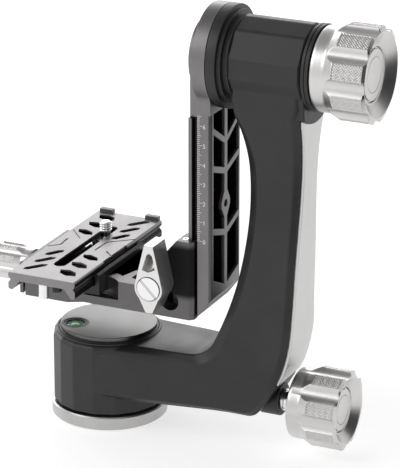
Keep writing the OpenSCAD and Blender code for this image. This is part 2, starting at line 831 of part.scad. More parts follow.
module tilt_outer_end_inner_race() {
    color("lightgray") at_outer_bearing() inner_race(tilt_shaft_r, tilt_bearing_r, tilt_bearing_w);
}

module rail_stop_screws() {
    color("silver") rail_stop_places() {
        x_rod(dovetail_x - rail_stop_head_h, dovetail_x, rail_stop_head_r);
        x_rod(dovetail_x - 1, dovetail_x + rail_stop_l, rail_stop_r);
    }
}

module thrust_washer() {
    color("peru") at_tilt() x_ring(friction_ring_x + 0.1, friction_ring_x + 0.1 + washer_t,
        tilt_thread_r + run_gap, washer_r);
}

module tilt_knob() {
    color("silver") at_tilt() knob(tilt_knob_x, tilt_knob_r, tilt_knob_l, tilt_thread_r + 2, washer_r + 0.3,
        washer_t + 0.1, tilt_flutes, tilt_knob_r * 0.25, tilt_knob_r * 0.095);
}

module tilt_knob_cap() {
    color("lightgray") at_tilt() knob_cap(tilt_knob_x, tilt_knob_r, tilt_knob_l);
}

module tilt_knob_insert() {
    color("darkgoldenrod") at_tilt() x_ring(tilt_knob_x + washer_t + 0.1,
        tilt_knob_x + tilt_knob_l * (1 - dish_share) - 2, tilt_thread_r + run_gap, tilt_thread_r + 2);
}

// ---- carriage -------------------------------------------------------------------------------------------

module ear_outline() {
    polygon([[rail_jaw_x - 4, bracket_top_z - 1], [rail_jaw_x + 0.5, lever_z + 6], [leg_x, carriage_top_z - 6],
        [leg_x + 5, carriage_top_z], [leg_out_x, carriage_top_z], [leg_out_x, bracket_z], [leg_x, bracket_z]]);
}

module at_lock_bolt() {
    translate([lever_x, 0, lever_z]) children();
}

module guide_pin_places() {
    for (z = [rail_jaw_z0 + 6, rail_jaw_z1 - 5]) translate([leg_x + 4.5, 0, z]) children();
}

module clamp_pin_places() {
    for (s = [-1, 1]) translate([0, s * clamp_pin_y, clamp_screw_z]) children();
}

module stop_pin_place() {
    translate([stop_pin_x, -clamp_w + 0.4, 0]) children();
}

module at_clamp_screw() {
    translate([0, 0, clamp_screw_z]) children();
}

module jaw_screw_places() {
    for (y = jaw_screw_y) translate([jaw_screw_x, y, 0]) children();
}

// Windows that lighten the deck, seen from above
module deck_windows() {
    x0 = fixed_jaw_x + 0.4;
    polygon([[x0, -9.8], [x0, 1.3], [13.9, 2.6], [18.3, -1.7], [16.8, -5.5], [14.8, -13.2]]);
    polygon([[x0, 9.5], [x0, 22.5], [14.3, 9.9]]);
    polygon([[20.1, -13.3], [20.5, -8.4], [23.1, -14.9]]);
}

// Cross section of the dovetail's channel, seen from above and open towards the moving jaw
module channel() {
    polygon([
        [dovetail_x - slide_gap, -dovetail_w - slide_gap], [dovetail_in_x + slide_gap, -dovetail_w - slide_gap],
        [neck_x + slide_gap, -neck_w - slide_gap], [rail_face_x, -neck_w - slide_gap],
        [rail_face_x, rail_jaw_y + eps], [dovetail_x - slide_gap, rail_jaw_y + eps]
    ]);
}

module bracket_solid() {
    // Floor, wider under the clamp and narrower beside the moving jaw of the leg
    translate([0, 0, bracket_z]) linear_extrude(clamp_floor_z - bracket_z) polygon([
        [clamp_block_x, -clamp_w], [clamp_x + 3, -clamp_w], [clamp_x + 10, -bracket_w], [leg_x, -bracket_w],
        [leg_x, rail_jaw_y], [rail_jaw_x - 1, rail_jaw_y], [rail_jaw_x - 1, clamp_w], [clamp_block_x, clamp_w]
    ]);
    // Deck between the clamp and the leg
    translate([0, 0, clamp_floor_z - eps]) linear_extrude(bracket_top_z - clamp_floor_z + eps) polygon([
        [fixed_jaw_x + 0.05, -bracket_w], [leg_x, -bracket_w], [leg_x, rail_jaw_y],
        [rail_jaw_x - 1, rail_jaw_y], [rail_jaw_x - 1, clamp_w], [fixed_jaw_x + 0.05, clamp_w]
    ]);
    // Ridge under the plate, which stops the plate's safety screws
    translate([clamp_x - clamp_ridge_w, -clamp_w, clamp_floor_z - eps])
        cube([2 * clamp_ridge_w, 2 * clamp_w, clamp_ridge_z - clamp_floor_z + eps]);
    translate([leg_x - eps, -bracket_w, bracket_z])
        cube([dovetail_x - slide_gap - leg_x + eps, bracket_w + rail_jaw_y, leg_wall_z - bracket_z]);
    along_y(-bracket_w, -bracket_w + ear_t) ear_outline();
    along_y(rail_jaw_y - ear_t, rail_jaw_y) ear_outline();
}

module platform_bracket() {
    color("gray") difference() {
        bracket_solid();
        translate([0, 0, bracket_z - eps]) linear_extrude(carriage_top_z - bracket_z + 2 * eps) channel();
        // Slot that meets the rail's lower stop screw
        translate([dovetail_x - slide_gap - rail_stop_head_h, -rail_stop_head_r - 0.2, bracket_z - eps])
            cube([rail_stop_head_h + eps, 2 * rail_stop_head_r + 0.4, low_stop_z + rail_stop_head_r + 0.2
                - bracket_z + eps]);
        // Chamfer of the front corner beside the rail
        translate([0, 0, bracket_z - eps]) linear_extrude(carriage_top_z - bracket_z + 2 * eps) polygon([
            [leg_out_x - leg_chamfer, -bracket_w - eps], [leg_out_x + eps, -bracket_w - eps],
            [leg_out_x + eps, -bracket_w + leg_chamfer]
        ]);
        translate([0, 0, bracket_z + 4]) linear_extrude(bracket_deck_t) deck_windows();
        // Scoop in the front face
        translate([6.5, -bracket_w - 7.5, bracket_z + 4.5]) z_rod(0, bracket_deck_t, 12.5);
        translate([leg_x + 1.2, -bracket_w - eps, bracket_z + 8.7]) y_rod(0, ear_t - 2, bore_r);
        at_lock_bolt() y_rod(-bracket_w - eps, rail_jaw_y + eps, lock_bolt_r + run_gap);
        guide_pin_places() y_rod(rail_jaw_y - guide_pin_seat, rail_jaw_y + eps, guide_pin_r);
        at_clamp_screw() x_rod(clamp_block_x - eps, clamp_block_x + clamp_screw_l, clamp_screw_r + run_gap);
        clamp_pin_places() x_rod(clamp_block_x - eps, clamp_block_x + clamp_pin_l, guide_pin_r);
        clamp_pin_places() x_rod(clamp_block_x - eps, clamp_block_x + spring_l, spring_r + 0.1);
        stop_pin_place() z_rod(bracket_z - eps, stop_pin_top_z, stop_pin_r);
        // Seat of the fixed jaw and its screws
        translate([clamp_x + grip - fixed_jaw_foot, -clamp_w - eps, fixed_jaw_floor_z])
            cube([fixed_jaw_foot + fixed_jaw_t + 0.05, 2 * clamp_w + 2 * eps, clamp_floor_z]);
        jaw_screw_places() z_rod(bracket_z - eps, fixed_jaw_floor_z + eps, jaw_screw_r);
        jaw_screw_places() z_rod(bracket_z - eps, bracket_z + jaw_screw_head_h, jaw_screw_head_r);
        leg_screw_place() z_rod(carriage_top_z - leg_screw_l, carriage_top_z + eps, leg_screw_r);
    }
}

module leg_screw_place() {
    translate([leg_screw_x, leg_screw_y, 0]) children();
}

module leg_screw() {
    color("silver") leg_screw_place() difference() {
        z_rod(carriage_top_z - leg_screw_l, carriage_top_z - 0.2, leg_screw_r);
        z_rod(carriage_top_z - 1.4, carriage_top_z, leg_screw_r * 0.55);
    }
}

module stop_pin() {
    color("white") stop_pin_place() z_rod(bracket_z + 0.3, stop_pin_top_z, stop_pin_r);
}

// Profile of a clamp jaw beside the plate's flange, from "z0" up and "t" thick, right of the clamp's middle
module jaw_profile(z0, t) {
    polygon([
        [grip + clamp_gap, z0], [grip + clamp_gap, plate_edge_z - 0.1],
        [grip - plate_neck + clamp_gap + 0.15, plate_neck_z], [grip + clamp_gap, plate_neck_z + 1.1],
        [grip + t - 0.9, plate_neck_z + 1.1], [grip + t, plate_neck_z + 0.2], [grip + t, z0]
    ]);
}

module fixed_jaw() {
    color("black") difference() {
        translate([clamp_x, 0, 0]) {
            along_y(-clamp_w, clamp_w) jaw_profile(fixed_jaw_floor_z, fixed_jaw_t);
            along_y(-clamp_w, clamp_w) translate([grip - fixed_jaw_foot + 0.05, fixed_jaw_floor_z])
                square([fixed_jaw_foot + 1, plate_bottom_z - 0.3 - fixed_jaw_floor_z]);
        }
        jaw_screw_places() z_rod(fixed_jaw_floor_z - eps, clamp_floor_z + 0.8, jaw_screw_r);
    }
}

module clamp_screws() {
    color("dimgray") jaw_screw_places() {
        z_rod(bracket_z + 0.3, bracket_z + jaw_screw_head_h, jaw_screw_head_r);
        z_rod(bracket_z + 0.3, clamp_floor_z + 0.8, jaw_screw_r);
    }
}

module guide_pins() {
    color("lightgray") {
        guide_pin_places() y_rod(rail_jaw_y - guide_pin_seat, rail_jaw_y + guide_pin_reach, guide_pin_r);
        clamp_pin_places() x_rod(clamp_jaw_x + 1, clamp_block_x + clamp_pin_l, guide_pin_r);
    }
}

module jaw_springs() {
    color("silver") clamp_pin_places() x_ring(clamp_jaw_x + clamp_strip_t + 0.1, clamp_block_x + spring_l,
        guide_pin_r, spring_r);
}

module rail_jaw() {
    y0 = rail_jaw_y + face_gap;
    y1 = y0 + rail_jaw_t;
    lip_x = dovetail_x - slide_gap + 0.2;
    color("dimgray") difference() {
        translate([0, 0, rail_jaw_z0]) linear_extrude(rail_jaw_z1 - rail_jaw_z0) polygon([
            [rail_jaw_x, y0], [lip_x, y0], [lip_x, dovetail_w + slide_gap],
            [dovetail_in_x + slide_gap, dovetail_w + slide_gap], [neck_x + slide_gap, neck_w + slide_gap],
            [leg_out_x, neck_w + slide_gap], [leg_out_x, y1 - leg_chamfer], [leg_out_x - leg_chamfer, y1],
            [rail_jaw_x, y1]
        ]);
        at_lock_bolt() y_rod(rail_jaw_y, y1 + eps, lock_bolt_r + run_gap);
        guide_pin_places() y_rod(rail_jaw_y, y1 + eps, guide_pin_r + run_gap);
    }
}

module lever_outline() {
    polygon([[-2.2, lever_l], [2.6, lever_l - 0.5], [lever_hub_r - 0.3, 2], [6, -4],
        [2.2, -12.8], [-1.6, -12.8], [-6, -4], [0.3 - lever_hub_r, 2]]);
}

module lever_window() {
    polygon([[-3.4, 9.6], [0, 8.8], [3.6, 10.4], [2.2, 17.4], [0.6, 18.8], [-0.8, 17.8]]);
}

module lock_lever() {
    color("silver") difference() {
        at_lock_bolt() union() {
            y_rod(lever_y, -bracket_w - face_gap, lever_hub_r);
            along_y(lever_y, -bracket_w - face_gap) lever_outline();
        }
        at_lock_bolt() along_y(lever_y - eps, -bracket_w + eps) lever_window();
        at_lock_bolt() y_rod(lever_y - eps, lever_y + 2, lever_screw_r);
        at_lock_bolt() y_rod(lever_y - eps, -bracket_w + eps, lock_bolt_r);
    }
}

module lever_screw() {
    color("white") difference() {
        at_lock_bolt() y_rod(lever_y - 0.4, lever_y + 2, lever_screw_r - lever_screw_gap);
        at_lock_bolt() rotate([0, 45, 0]) translate([-lever_screw_r, lever_y - 0.4 - eps, -lever_slot_w / 2])
            cube([2 * lever_screw_r, 1.2 + eps, lever_slot_w]);
    }
}

module lock_bolt() {
    color("lightgray") at_lock_bolt() y_rod(lever_y + 2, rail_jaw_y + rail_jaw_t, lock_bolt_r);
}

// ---- plate clamp ----------------------------------------------------------------------------------------

module clamp_jaw() {
    color("gray") difference() {
        translate([clamp_x, 0, 0]) mirror([1, 0, 0]) {
            along_y(-clamp_w, clamp_w) jaw_profile(clamp_floor_z + 0.2, clamp_jaw_t);
            along_y(-clamp_w, clamp_w) translate([grip + clamp_jaw_t - clamp_strip_t, bracket_z + 1])
                square([clamp_strip_t, plate_neck_z - bracket_z - 2]);
        }
        at_clamp_screw() x_rod(clamp_jaw_x - eps, clamp_block_x, clamp_screw_r + run_gap);
        clamp_pin_places() x_rod(clamp_jaw_x - eps, clamp_block_x, guide_pin_r + run_gap);
    }
}

module clamp_knob() {
    x1 = clamp_knob_x;
    x0 = x1 - clamp_knob_l;
    r = clamp_knob_r;
    color("silver") at_clamp_screw() difference() {
        rotate([0, 90, 0]) rotate_extrude() polygon([[clamp_screw_r, x0 + 3], [r * 0.6, x0 + 3], [r * 0.72, x0],
            [r * 0.88, x0], [r * 0.94, x0 + 1.2], [r, x1 - 5], [r * 0.8, x1], [clamp_screw_r, x1]]);
        for (i = [0 : pan_flutes - 1]) rotate([360 / pan_flutes * i, 0, 0]) translate([0, 0, r * 1.24])
            x_rod(x0 - eps, x1 - 6, r * 0.36);
    }
}

module clamp_screw() {
    color("lightgray") at_clamp_screw() {
        x_rod(clamp_knob_x - clamp_knob_l + 4, clamp_block_x + clamp_screw_l - 5, clamp_screw_r);
        x_rod(clamp_knob_x, clamp_jaw_x - 0.1, clamp_collar_r);
    }
}

// ---- quick release plate --------------------------------------------------------------------------------

module plate_outline() {
    half = [[grip - 0.6, plate_z], [grip, plate_z - 0.6], [grip, plate_neck_z + plate_neck + 0.3],
        [grip - plate_neck, plate_neck_z], [grip, plate_edge_z], [grip, plate_bottom_z + 0.6],
        [grip - 0.9, plate_bottom_z], [grip - 2.2, plate_bottom_z], [grip - 6, plate_z - plate_t]];
    polygon(mirrored(half));
}

// A window with pointed ends, centred on the origin
module leaf(l, w) {
    polygon([[-l / 2, 0], [-l / 2 + w * 0.6, w / 2], [l / 2 - w * 0.6, w / 2], [l / 2, 0],
        [l / 2 - w * 0.6, -w / 2], [-l / 2 + w * 0.6, -w / 2]]);
}

module round_slot(y0, y1, r) {
    translate([0, y0]) circle(r = r);
    translate([0, y1]) circle(r = r);
    translate([-r, y0]) square([2 * r, y1 - y0]);
}

// Windows of one half of the plate, about its middle: narrow ones at the left and wide ones at the right
module half_windows() {
    for (i = [0 : 2]) {
        translate([-9.6 - 0.3 * i, window_pitch[0] * (i - 3.58)]) rotate([0, 0, 52 + 3 * i]) leaf(14 - i, 3.6);
        translate([9.3 + 0.2 * i, window_pitch[1] * (i - 3.35)]) rotate([0, 0, -26])
            leaf(12.6 - 0.5 * i, 6.4 - 0.6 * i);
    }
}

// Direction of a polyline's stretch that starts at point "i"
function heading(points, i) = let (run = points[i + 1] - points[i]) run / norm(run);
// Point of a groove's edge beside point "i", on the side "s"
function groove_edge(points, i, s) = let (
    a = heading(points, max(i - 1, 0)),
    b = heading(points, min(i, len(points) - 2)),
    n = [-a[1] - b[1], a[0] + b[0]],
    reach = s * groove_w / (n * [-a[1], a[0]])
) points[i] + n * reach / 2;

// A shallow groove of the plate's top from point to point
module groove(points) {
    last = len(points) - 1;
    polygon(concat([for (i = [0 : last]) groove_edge(points, i, 1)],
        [for (i = [last : -1 : 0]) groove_edge(points, i, -1)]));
}

// Grooves, about the plate's middle
module plate_grooves() {
    groove([[-18.4, -9.8], [-12.9, -4.1], [-13.7, 5.4]]);
    groove([[-19.5, 20.6], [-8.2, 8.2]]);
    groove([[7, -4.4], [7.3, 8.6], [19.5, 19.4]]);
    groove([[13.1, -3.2], [18.4, -8.8]]);
}

module plate_stop_places() {
    for (s = [-1, 1]) translate([clamp_x - plate_stop_x * s, plate_y + s * (plate_l / 2 - plate_stop_in), 0])
        children();
}

module quick_release_plate() {
    color("silver") difference() {
        translate([clamp_x, 0, 0]) along_y(plate_y - plate_l / 2, plate_y + plate_l / 2) plate_outline();
        translate([clamp_x, 0, plate_z - plate_t - eps]) linear_extrude(plate_t + 2 * eps)
            round_slot(slot_y0, slot_y1, slot_w / 2);
        for (a = [0, 180]) translate([clamp_x, plate_y + 1.5, plate_z - plate_t - eps]) rotate([0, 0, a])
            linear_extrude(plate_t + 2 * eps) half_windows();
        // Step along the slot that takes the camera screw's washer from below
        translate([clamp_x, 0, plate_z - plate_t - eps]) linear_extrude(1.5 + eps)
            round_slot(slot_y0 + 2, slot_y1 - 2, washer_step_r);
        // Notches in the middle of both edges
        for (s = [-1, 1]) translate([clamp_x + s * grip, plate_y - 4, plate_z])
            cube([2 * notch_d, notch_l, 2 * notch_h], center = true);
        translate([clamp_x, plate_y, plate_z - groove_h]) linear_extrude(groove_h + eps) plate_grooves();
        plate_stop_places() z_rod(plate_z - plate_t - eps, plate_z - 0.8, plate_stop_r);
        tab_places() translate([-tab_w / 2, -tab_seat, -1]) cube([tab_w, tab_seat + eps, 1 + eps]);
    }
}

module tab_places() {
    for (s = [-1, 1]) translate([clamp_x + s * tab_x, plate_y + plate_l / 2, plate_z]) children();
}

module plate_tabs() {
    color("dimgray") tab_places() translate([-tab_w / 2, -tab_seat, -1]) cube([tab_w, tab_t, 1 + tab_h]);
}

module plate_stop_screws() {
    color("dimgray") plate_stop_places() {
        z_rod(plate_bottom_z + 0.2, plate_z - plate_t, 2.6);
        z_rod(plate_bottom_z + 0.2, plate_z - 0.8, plate_stop_r);
    }
}

module camera_screw_place() {
    translate([clamp_x, camera_y, 0]) children();
}

module camera_screw_washer() {
    color("dimgray") camera_screw_place() z_ring(plate_z - plate_t - 0.7, plate_z - plate_t + 1.3,
        camera_neck_r + run_gap, camera_washer_r);
}

module camera_screw() {
    z0 = plate_z - plate_t - 0.8;
    color("white") camera_screw_place() difference() {
        union() {
            z_rod(z0 - camera_head_t, z0, camera_head_r);
            z_rod(z0 - 1, camera_thread_z + camera_thread_l, camera_neck_r);
            z_rod(camera_thread_z, camera_thread_z + camera_thread_l, camera_thread_r);
        }
        translate([-camera_head_r - eps, -0.7, z0 - camera_head_t - eps]) cube([2 * camera_head_r + 2 * eps, 1.4,
            1.2 + eps]);
    }
}

base_plate();
tripod_bush();
pan_spindle();
spindle_screws();
pan_brake_drum();
pan_lower_inner_race();
pan_upper_inner_race();
pan_ring_nut();
arm();
arm_inlay();
thrust_flange();
friction_ring();
pan_cap();
level_cup();
level_fluid();
level_lens();
pan_lower_outer_race();
pan_upper_outer_race();
tilt_inner_end_outer_race();
tilt_outer_end_outer_race();
pan_lock_socket();
pan_lock_rod();
pan_brake_shoe();
pan_knob();
pan_knob_cap();
pan_knob_stud();
swing_rail();
tilt_shaft();
shaft_screws();
tilt_inner_end_inner_race();
tilt_outer_end_inner_race();
rail_stop_screws();
thrust_washer();
tilt_knob();
tilt_knob_cap();
tilt_knob_insert();
platform_bracket();
fixed_jaw();
clamp_screws();
stop_pin();
guide_pins();
jaw_springs();
leg_screw();
rail_jaw();
lock_lever();
lever_screw();
lock_bolt();
clamp_jaw();
clamp_knob();
clamp_screw();
quick_release_plate();
plate_tabs();
plate_stop_screws();
camera_screw_washer();
camera_screw();
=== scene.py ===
import json
import math
import bmesh
import bpy
from mathutils import Euler, Matrix, Vector


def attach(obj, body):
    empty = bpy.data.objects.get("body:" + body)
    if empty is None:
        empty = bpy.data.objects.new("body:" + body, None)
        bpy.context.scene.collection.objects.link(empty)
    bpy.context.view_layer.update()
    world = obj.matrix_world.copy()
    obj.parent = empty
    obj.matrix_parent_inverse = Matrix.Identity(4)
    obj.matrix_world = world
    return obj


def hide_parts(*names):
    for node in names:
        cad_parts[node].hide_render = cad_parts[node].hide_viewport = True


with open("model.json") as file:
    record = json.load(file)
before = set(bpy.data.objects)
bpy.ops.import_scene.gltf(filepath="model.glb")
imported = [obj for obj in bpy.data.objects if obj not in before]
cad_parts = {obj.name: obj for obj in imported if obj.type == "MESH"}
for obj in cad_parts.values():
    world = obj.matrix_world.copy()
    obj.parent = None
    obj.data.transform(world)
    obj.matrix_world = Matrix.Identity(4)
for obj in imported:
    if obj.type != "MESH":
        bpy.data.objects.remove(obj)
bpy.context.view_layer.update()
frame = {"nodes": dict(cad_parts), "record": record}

# ---- Camera ----------------------------------------------------------------------------------------------
# The photograph is taken with a long lens from 25 degrees right of the front and 20 degrees above it.
# Its frame is 400 by 468 pixels, so the sensor's 36 mm lie along the upright side.
scene = bpy.context.scene
scene.view_settings.view_transform = "Standard"
camera_place = (0.651954, -1.283008, 0.629619)
right_of_front, above_level = 25.07, 20.34
camera_data = bpy.data.cameras.new("camera")
camera_data.sensor_fit = "AUTO"
camera_data.sensor_width = 36.0
camera_data.lens = 231.289
camera_data.clip_end = 20.0
camera = bpy.data.objects.new("camera", camera_data)
camera.location = camera_place
camera.rotation_euler = Euler((math.radians(90 - above_level), 0.0, math.radians(right_of_front)))
scene.collection.objects.link(camera)
scene.camera = camera


# ---- Floor -----------------------------------------------------------------------------------------------
# A plain white sweep as in a product photograph. The camera and reflections see it white, and the
# part still throws its soft shadow on it.
def shade(tree, kind, sockets=None, **settings):
    """Adds a shader node. A socket takes a number, a colour or another node's output."""
    node = tree.nodes.new("ShaderNode" + kind)
    for key, value in settings.items():
        setattr(node, key, value)
    for key, value in (sockets or {}).items():
        if isinstance(value, bpy.types.NodeSocket):
            tree.links.new(value, node.inputs[key])
        else:
            node.inputs[key].default_value = value
    return node


def staged(name, shape, tone):
    """A matt grey piece of the studio, made from a bmesh. It isn't part of the object."""
    mesh = bpy.data.meshes.new(name)
    shape.to_mesh(mesh)
    shape.free()
    material = bpy.data.materials.new(name)
    material.use_nodes = True
    shader = material.node_tree.nodes["Principled BSDF"].inputs
    shader["Base Color"].default_value = (tone, tone, tone, 1)
    shader["Roughness"].default_value = 0.9
    mesh.materials.append(material)
    thing = bpy.data.objects.new(name, mesh)
    scene.collection.objects.link(thing)
    return thing, material.node_tree, shader


def any_ray(tree, *kinds):
    """1 for rays of the given kinds, and 0 for all others."""
    rays = shade(tree, "LightPath").outputs
    seen = rays[f"Is {kinds[0]} Ray"]
    for kind in kinds[1:]:
        seen = shade(tree, "Math", {0: seen, 1: rays[f"Is {kind} Ray"]}, operation="MAXIMUM").outputs[0]
    return seen


floor_radius, floor_drop, floor_tone, floor_lift = 6.0, 0.0005, 0.6, 0.62
sweep = bmesh.new()
bmesh.ops.create_circle(sweep, cap_ends=True, segments=64, radius=floor_radius)
floor, floor_tree, floor_shader = staged("floor", sweep, floor_tone)
floor.location = (0, 0, -floor_drop)
floor_shader["Specular IOR Level"].default_value = 0.0
floor_shader["Emission Color"].default_value = (1, 1, 1, 1)
floor_seen = any_ray(floor_tree, "Camera", "Transmission", "Glossy")
lift = shade(floor_tree, "Math", {0: floor_seen, 1: floor_lift}, operation="MULTIPLY").outputs[0]
floor_tree.links.new(lift, floor_shader["Emission Strength"])

# ---- Sky and lamps ---------------------------------------------------------------------------------------
# The sky is white for the camera. On the object it gives an even light, and in reflections it darkens
# overhead and to the right, as a studio's ceiling and black cards do. Three soft boxes light the part.
world = bpy.data.worlds.new("studio")
scene.world = world
world.use_nodes = True
sky = world.node_tree


def fading(amount, start, end, full, least):
    """Falls softly from full to least while the amount rises from start to end."""
    sockets = {"Value": amount, "From Min": start, "From Max": end, "To Min": full, "To Max": least}
    return shade(sky, "MapRange", sockets, interpolation_type="SMOOTHSTEP").outputs["Result"]


direction = shade(sky, "TexCoord").outputs["Generated"]
way = shade(sky, "SeparateXYZ", {0: direction}).outputs
overhead = fading(way["Z"], 0.35, 0.98, full=0.9, least=0.36)
sideways = fading(way["X"], 0.35, 0.95, full=1.0, least=0.5)
ambient = shade(sky, "Math", {0: overhead, 1: sideways}, operation="MULTIPLY").outputs[0]
sky_seen = any_ray(sky, "Camera", "Transmission")
strength = shade(sky, "Mix", {0: sky_seen, 2: ambient, 3: 1.0}, data_type="FLOAT").outputs[0]
background = sky.nodes["Background"].inputs
sky.links.new(strength, background["Strength"])
background["Color"].default_value = (1, 1, 1, 1)


def soft_box(name, place, target, size, watts):
    """A rectangular lamp that faces its target."""
    lamp = bpy.data.lights.new(name, "AREA")
    lamp.shape = "RECTANGLE"
    lamp.size, lamp.size_y = size
    lamp.energy = watts
    box = bpy.data.objects.new(name, lamp)
    aim = Vector(target) - Vector(place)
    box.matrix_world = Matrix.Translation(place) @ aim.to_track_quat("-Z", "Y").to_matrix().to_4x4()
    scene.collection.objects.link(box)


soft_box("key_light", place=(-0.9, -0.9, 1.1), target=(0.03, 0, 0.1), size=(1.0, 1.0), watts=6.0)
soft_box("back_light", place=(-0.6, 1.3, 0.68), target=(0.03, 0, 0.15), size=(1.7, 0.6), watts=8.0)
soft_box("side_light", place=(-1.3, 0.5, 0.35), target=(0, 0, 0.1), size=(0.9, 0.5), watts=3.5)

# ---- Black card ------------------------------------------------------------------------------------------
# A black card stands at the right, out of the picture, and gives the knobs' faces their dark side.
# The camera doesn't see it from any side.
card_place, card_width, card_height = (0.5, 0.02, 0.2), 0.7, 0.4
on_edge = Matrix.Rotation(math.radians(90), 4, "Y")
card_size = Matrix.Diagonal((0.001, card_width, card_height, 1))
card_shape = bmesh.new()
bmesh.ops.create_grid(card_shape, x_segments=1, y_segments=1, size=0.5,
                      matrix=Matrix.Translation(card_place) @ card_size @ on_edge)
card, _, _ = staged("card", card_shape, 0.02)
card.visible_camera = False


# ---- Arm -------------------------------------------------------------------------------------------------
# The arm is one casting, machined and anodised dark grey. Its foot and limb are skinned over sections
# across the arm's line, with chamfered corners. The pan housing and the barrel are faceted prisms.
def new_group(name, inputs, outputs):
    """An empty node group with named inputs, each a kind and its usual value, and named outputs."""
    tree = bpy.data.node_groups.new(name, "ShaderNodeTree")
    for label, (kind, value) in inputs.items():
        socket = tree.interface.new_socket(label, in_out="INPUT", socket_type="NodeSocket" + kind)
        socket.default_value = value
    for label, kind in outputs.items():
        tree.interface.new_socket(label, in_out="OUTPUT", socket_type="NodeSocket" + kind)
    given = tree.nodes.new("NodeGroupInput").outputs
    return tree, given, tree.nodes.new("NodeGroupOutput").inputs


def make_smudges():
    """Soft clouds left by handling, as a mask."""
    tree, given, result = new_group("smudges", {"Scale": ("Float", 35.0)}, {"Mask": "Float"})
    place = shade(tree, "TexCoord").outputs["Object"]
    noise = {"Vector": place, "Scale": given["Scale"], "Detail": 5.0, "Roughness": 0.6}
    cloud = shade(tree, "TexNoise", noise)
    mask = shade(tree, "MapRange", {"Value": cloud.outputs[0], "From Min": 0.35, "From Max": 0.68})
    tree.links.new(mask.outputs["Result"], result["Mask"])


def make_worn_edges():
    """Where a surface bends sharply, as a mask."""
    tree, given, result = new_group("worn_edges", {"Radius": ("Float", 0.0004)}, {"Mask": "Float"})
    bent = shade(tree, "Bevel", {"Radius": given["Radius"]}, samples=4).outputs["Normal"]
    flat = shade(tree, "NewGeometry").outputs["Normal"]
    likeness = shade(tree, "VectorMath", {0: bent, 1: flat}, operation="DOT_PRODUCT").outputs["Value"]
    mask = shade(tree, "MapRange", {"Value": likeness, "From Min": 0.985, "From Max": 0.85})
    tree.links.new(mask.outputs["Result"], result["Mask"])


def bumped(tree, height, depth):
    """A normal from a height between 0 and 1. The depth is a share of a tenth of a millimetre."""
    return shade(tree, "Bump", {"Height": height, "Strength": depth, "Distance": 0.0001}).outputs["Normal"]


def make_blasted_grain():
    """The fine dimples of bead blasting, or of a moulded plastic."""
    tree, given, result = new_group("blasted_grain", {"Scale": ("Float", 1800.0), "Depth": ("Float", 0.3)},
                                    {"Normal": "Vector"})
    place = shade(tree, "TexCoord").outputs["Object"]
    dimples = shade(tree, "TexNoise", {"Vector": place, "Scale": given["Scale"], "Detail": 3.0})
    tree.links.new(bumped(tree, dimples.outputs[0], given["Depth"]), result["Normal"])


def mixed(tree, share, first, second):
    """A colour between two others."""
    return shade(tree, "Mix", {0: share, 6: first, 7: second}, data_type="RGBA").outputs[2]


make_smudges()
make_worn_edges()
make_blasted_grain()
# The tone of painted shade, put where shade falls in recesses and on shaded faces.
PAINTED_SHADE_TONE = (0.012, 0.0115, 0.012, 1)
# The CAD materials already bear the slots' names, so the finishes are kept here by theirs.
finishes = {}


def surface(name, dark, light, rough, metallic, relief, relief_sockets, edge=0.0, edge_tone=0.75,
            painted_shade_boxes=()):
    """A finish between two tones and two roughnesses by smudges, with worn edges and a fine relief.

    Each painted shade box is a box in millimetres where the tone is darkened to painted shade: its lower
    and its upper corner, and its sides' softness.
    """
    material = bpy.data.materials.new(name)
    material.use_nodes = True
    tree = material.node_tree
    shader = tree.nodes["Principled BSDF"].inputs
    groups = bpy.data.node_groups
    smudge = shade(tree, "Group", {"Scale": 35.0}, node_tree=groups["smudges"]).outputs["Mask"]
    tone = mixed(tree, smudge, (*dark, 1), (*light, 1))
    worn = shade(tree, "Group", {"Radius": 0.0004}, node_tree=groups["worn_edges"]).outputs["Mask"]
    share = shade(tree, "Math", {0: worn, 1: edge}, operation="MULTIPLY").outputs[0]
    tone = mixed(tree, share, tone, (edge_tone, edge_tone * 0.99, edge_tone * 0.98, 1))
    # Painted shade: inside each box the tone is darkened to the shade tone.
    for low, high, soft in painted_shade_boxes:
        low, high = Vector(low) / 1000, Vector(high) / 1000
        box = {"Centre": (low + high) / 2, "Half": (high - low) / 2, "Soft": soft / 1000}
        inside = shade(tree, "Group", box, node_tree=groups["inside_box"]).outputs["Mask"]
        tone = mixed(tree, inside, tone, PAINTED_SHADE_TONE)
    rougher = shade(tree, "MapRange", {"Value": smudge, "To Min": rough[0], "To Max": rough[1]})
    fine = shade(tree, "Group", relief_sockets, node_tree=groups[relief]).outputs["Normal"]
    tree.links.new(tone, shader["Base Color"])
    tree.links.new(rougher.outputs["Result"], shader["Roughness"])
    tree.links.new(fine, shader["Normal"])
    shader["Metallic"].default_value = metallic
    finishes[name] = material
    return shader


surface("arm_coat", (0.011, 0.011, 0.0112), (0.024, 0.024, 0.0242), (0.37, 0.50), 0.0, "blasted_grain",
        {"Scale": 1500.0, "Depth": 0.3}, edge=0.03)
# The arm's heights, the barrel's ends and the prisms' radii are in millimetres, as all sizes below.
DECK_Z, FOOT_Z = 46.0, 17.0
TILT_Z, PAN_LOCK_Z = 200.4, 22.9
BARREL_X = (75.05, 114.5)
HOUSING_R, BARREL_R = 29.0, 21.9


def through(keys, at):
    """A smooth curve through (place, value) keys, flat beyond its ends."""
    if at <= keys[0][0]:
        return keys[0][1]
    for i, ((a, low), (b, high)) in enumerate(zip(keys, keys[1:])):
        if at <= b:
            before = keys[i - 1] if i else (a, low)
            after = keys[i + 2] if i + 2 < len(keys) else (b, high)
            t, span = (at - a) / (b - a), b - a
            rise_a = (high - before[1]) / (b - before[0]) * span
            rise_b = (after[1] - low) / (after[0] - a) * span
            return ((2 * t ** 3 - 3 * t ** 2 + 1) * low + (t ** 3 - 2 * t ** 2 + t) * rise_a
                    + (3 * t ** 2 - 2 * t ** 3) * high + (t ** 3 - t ** 2) * rise_b)
    return keys[-1][1]


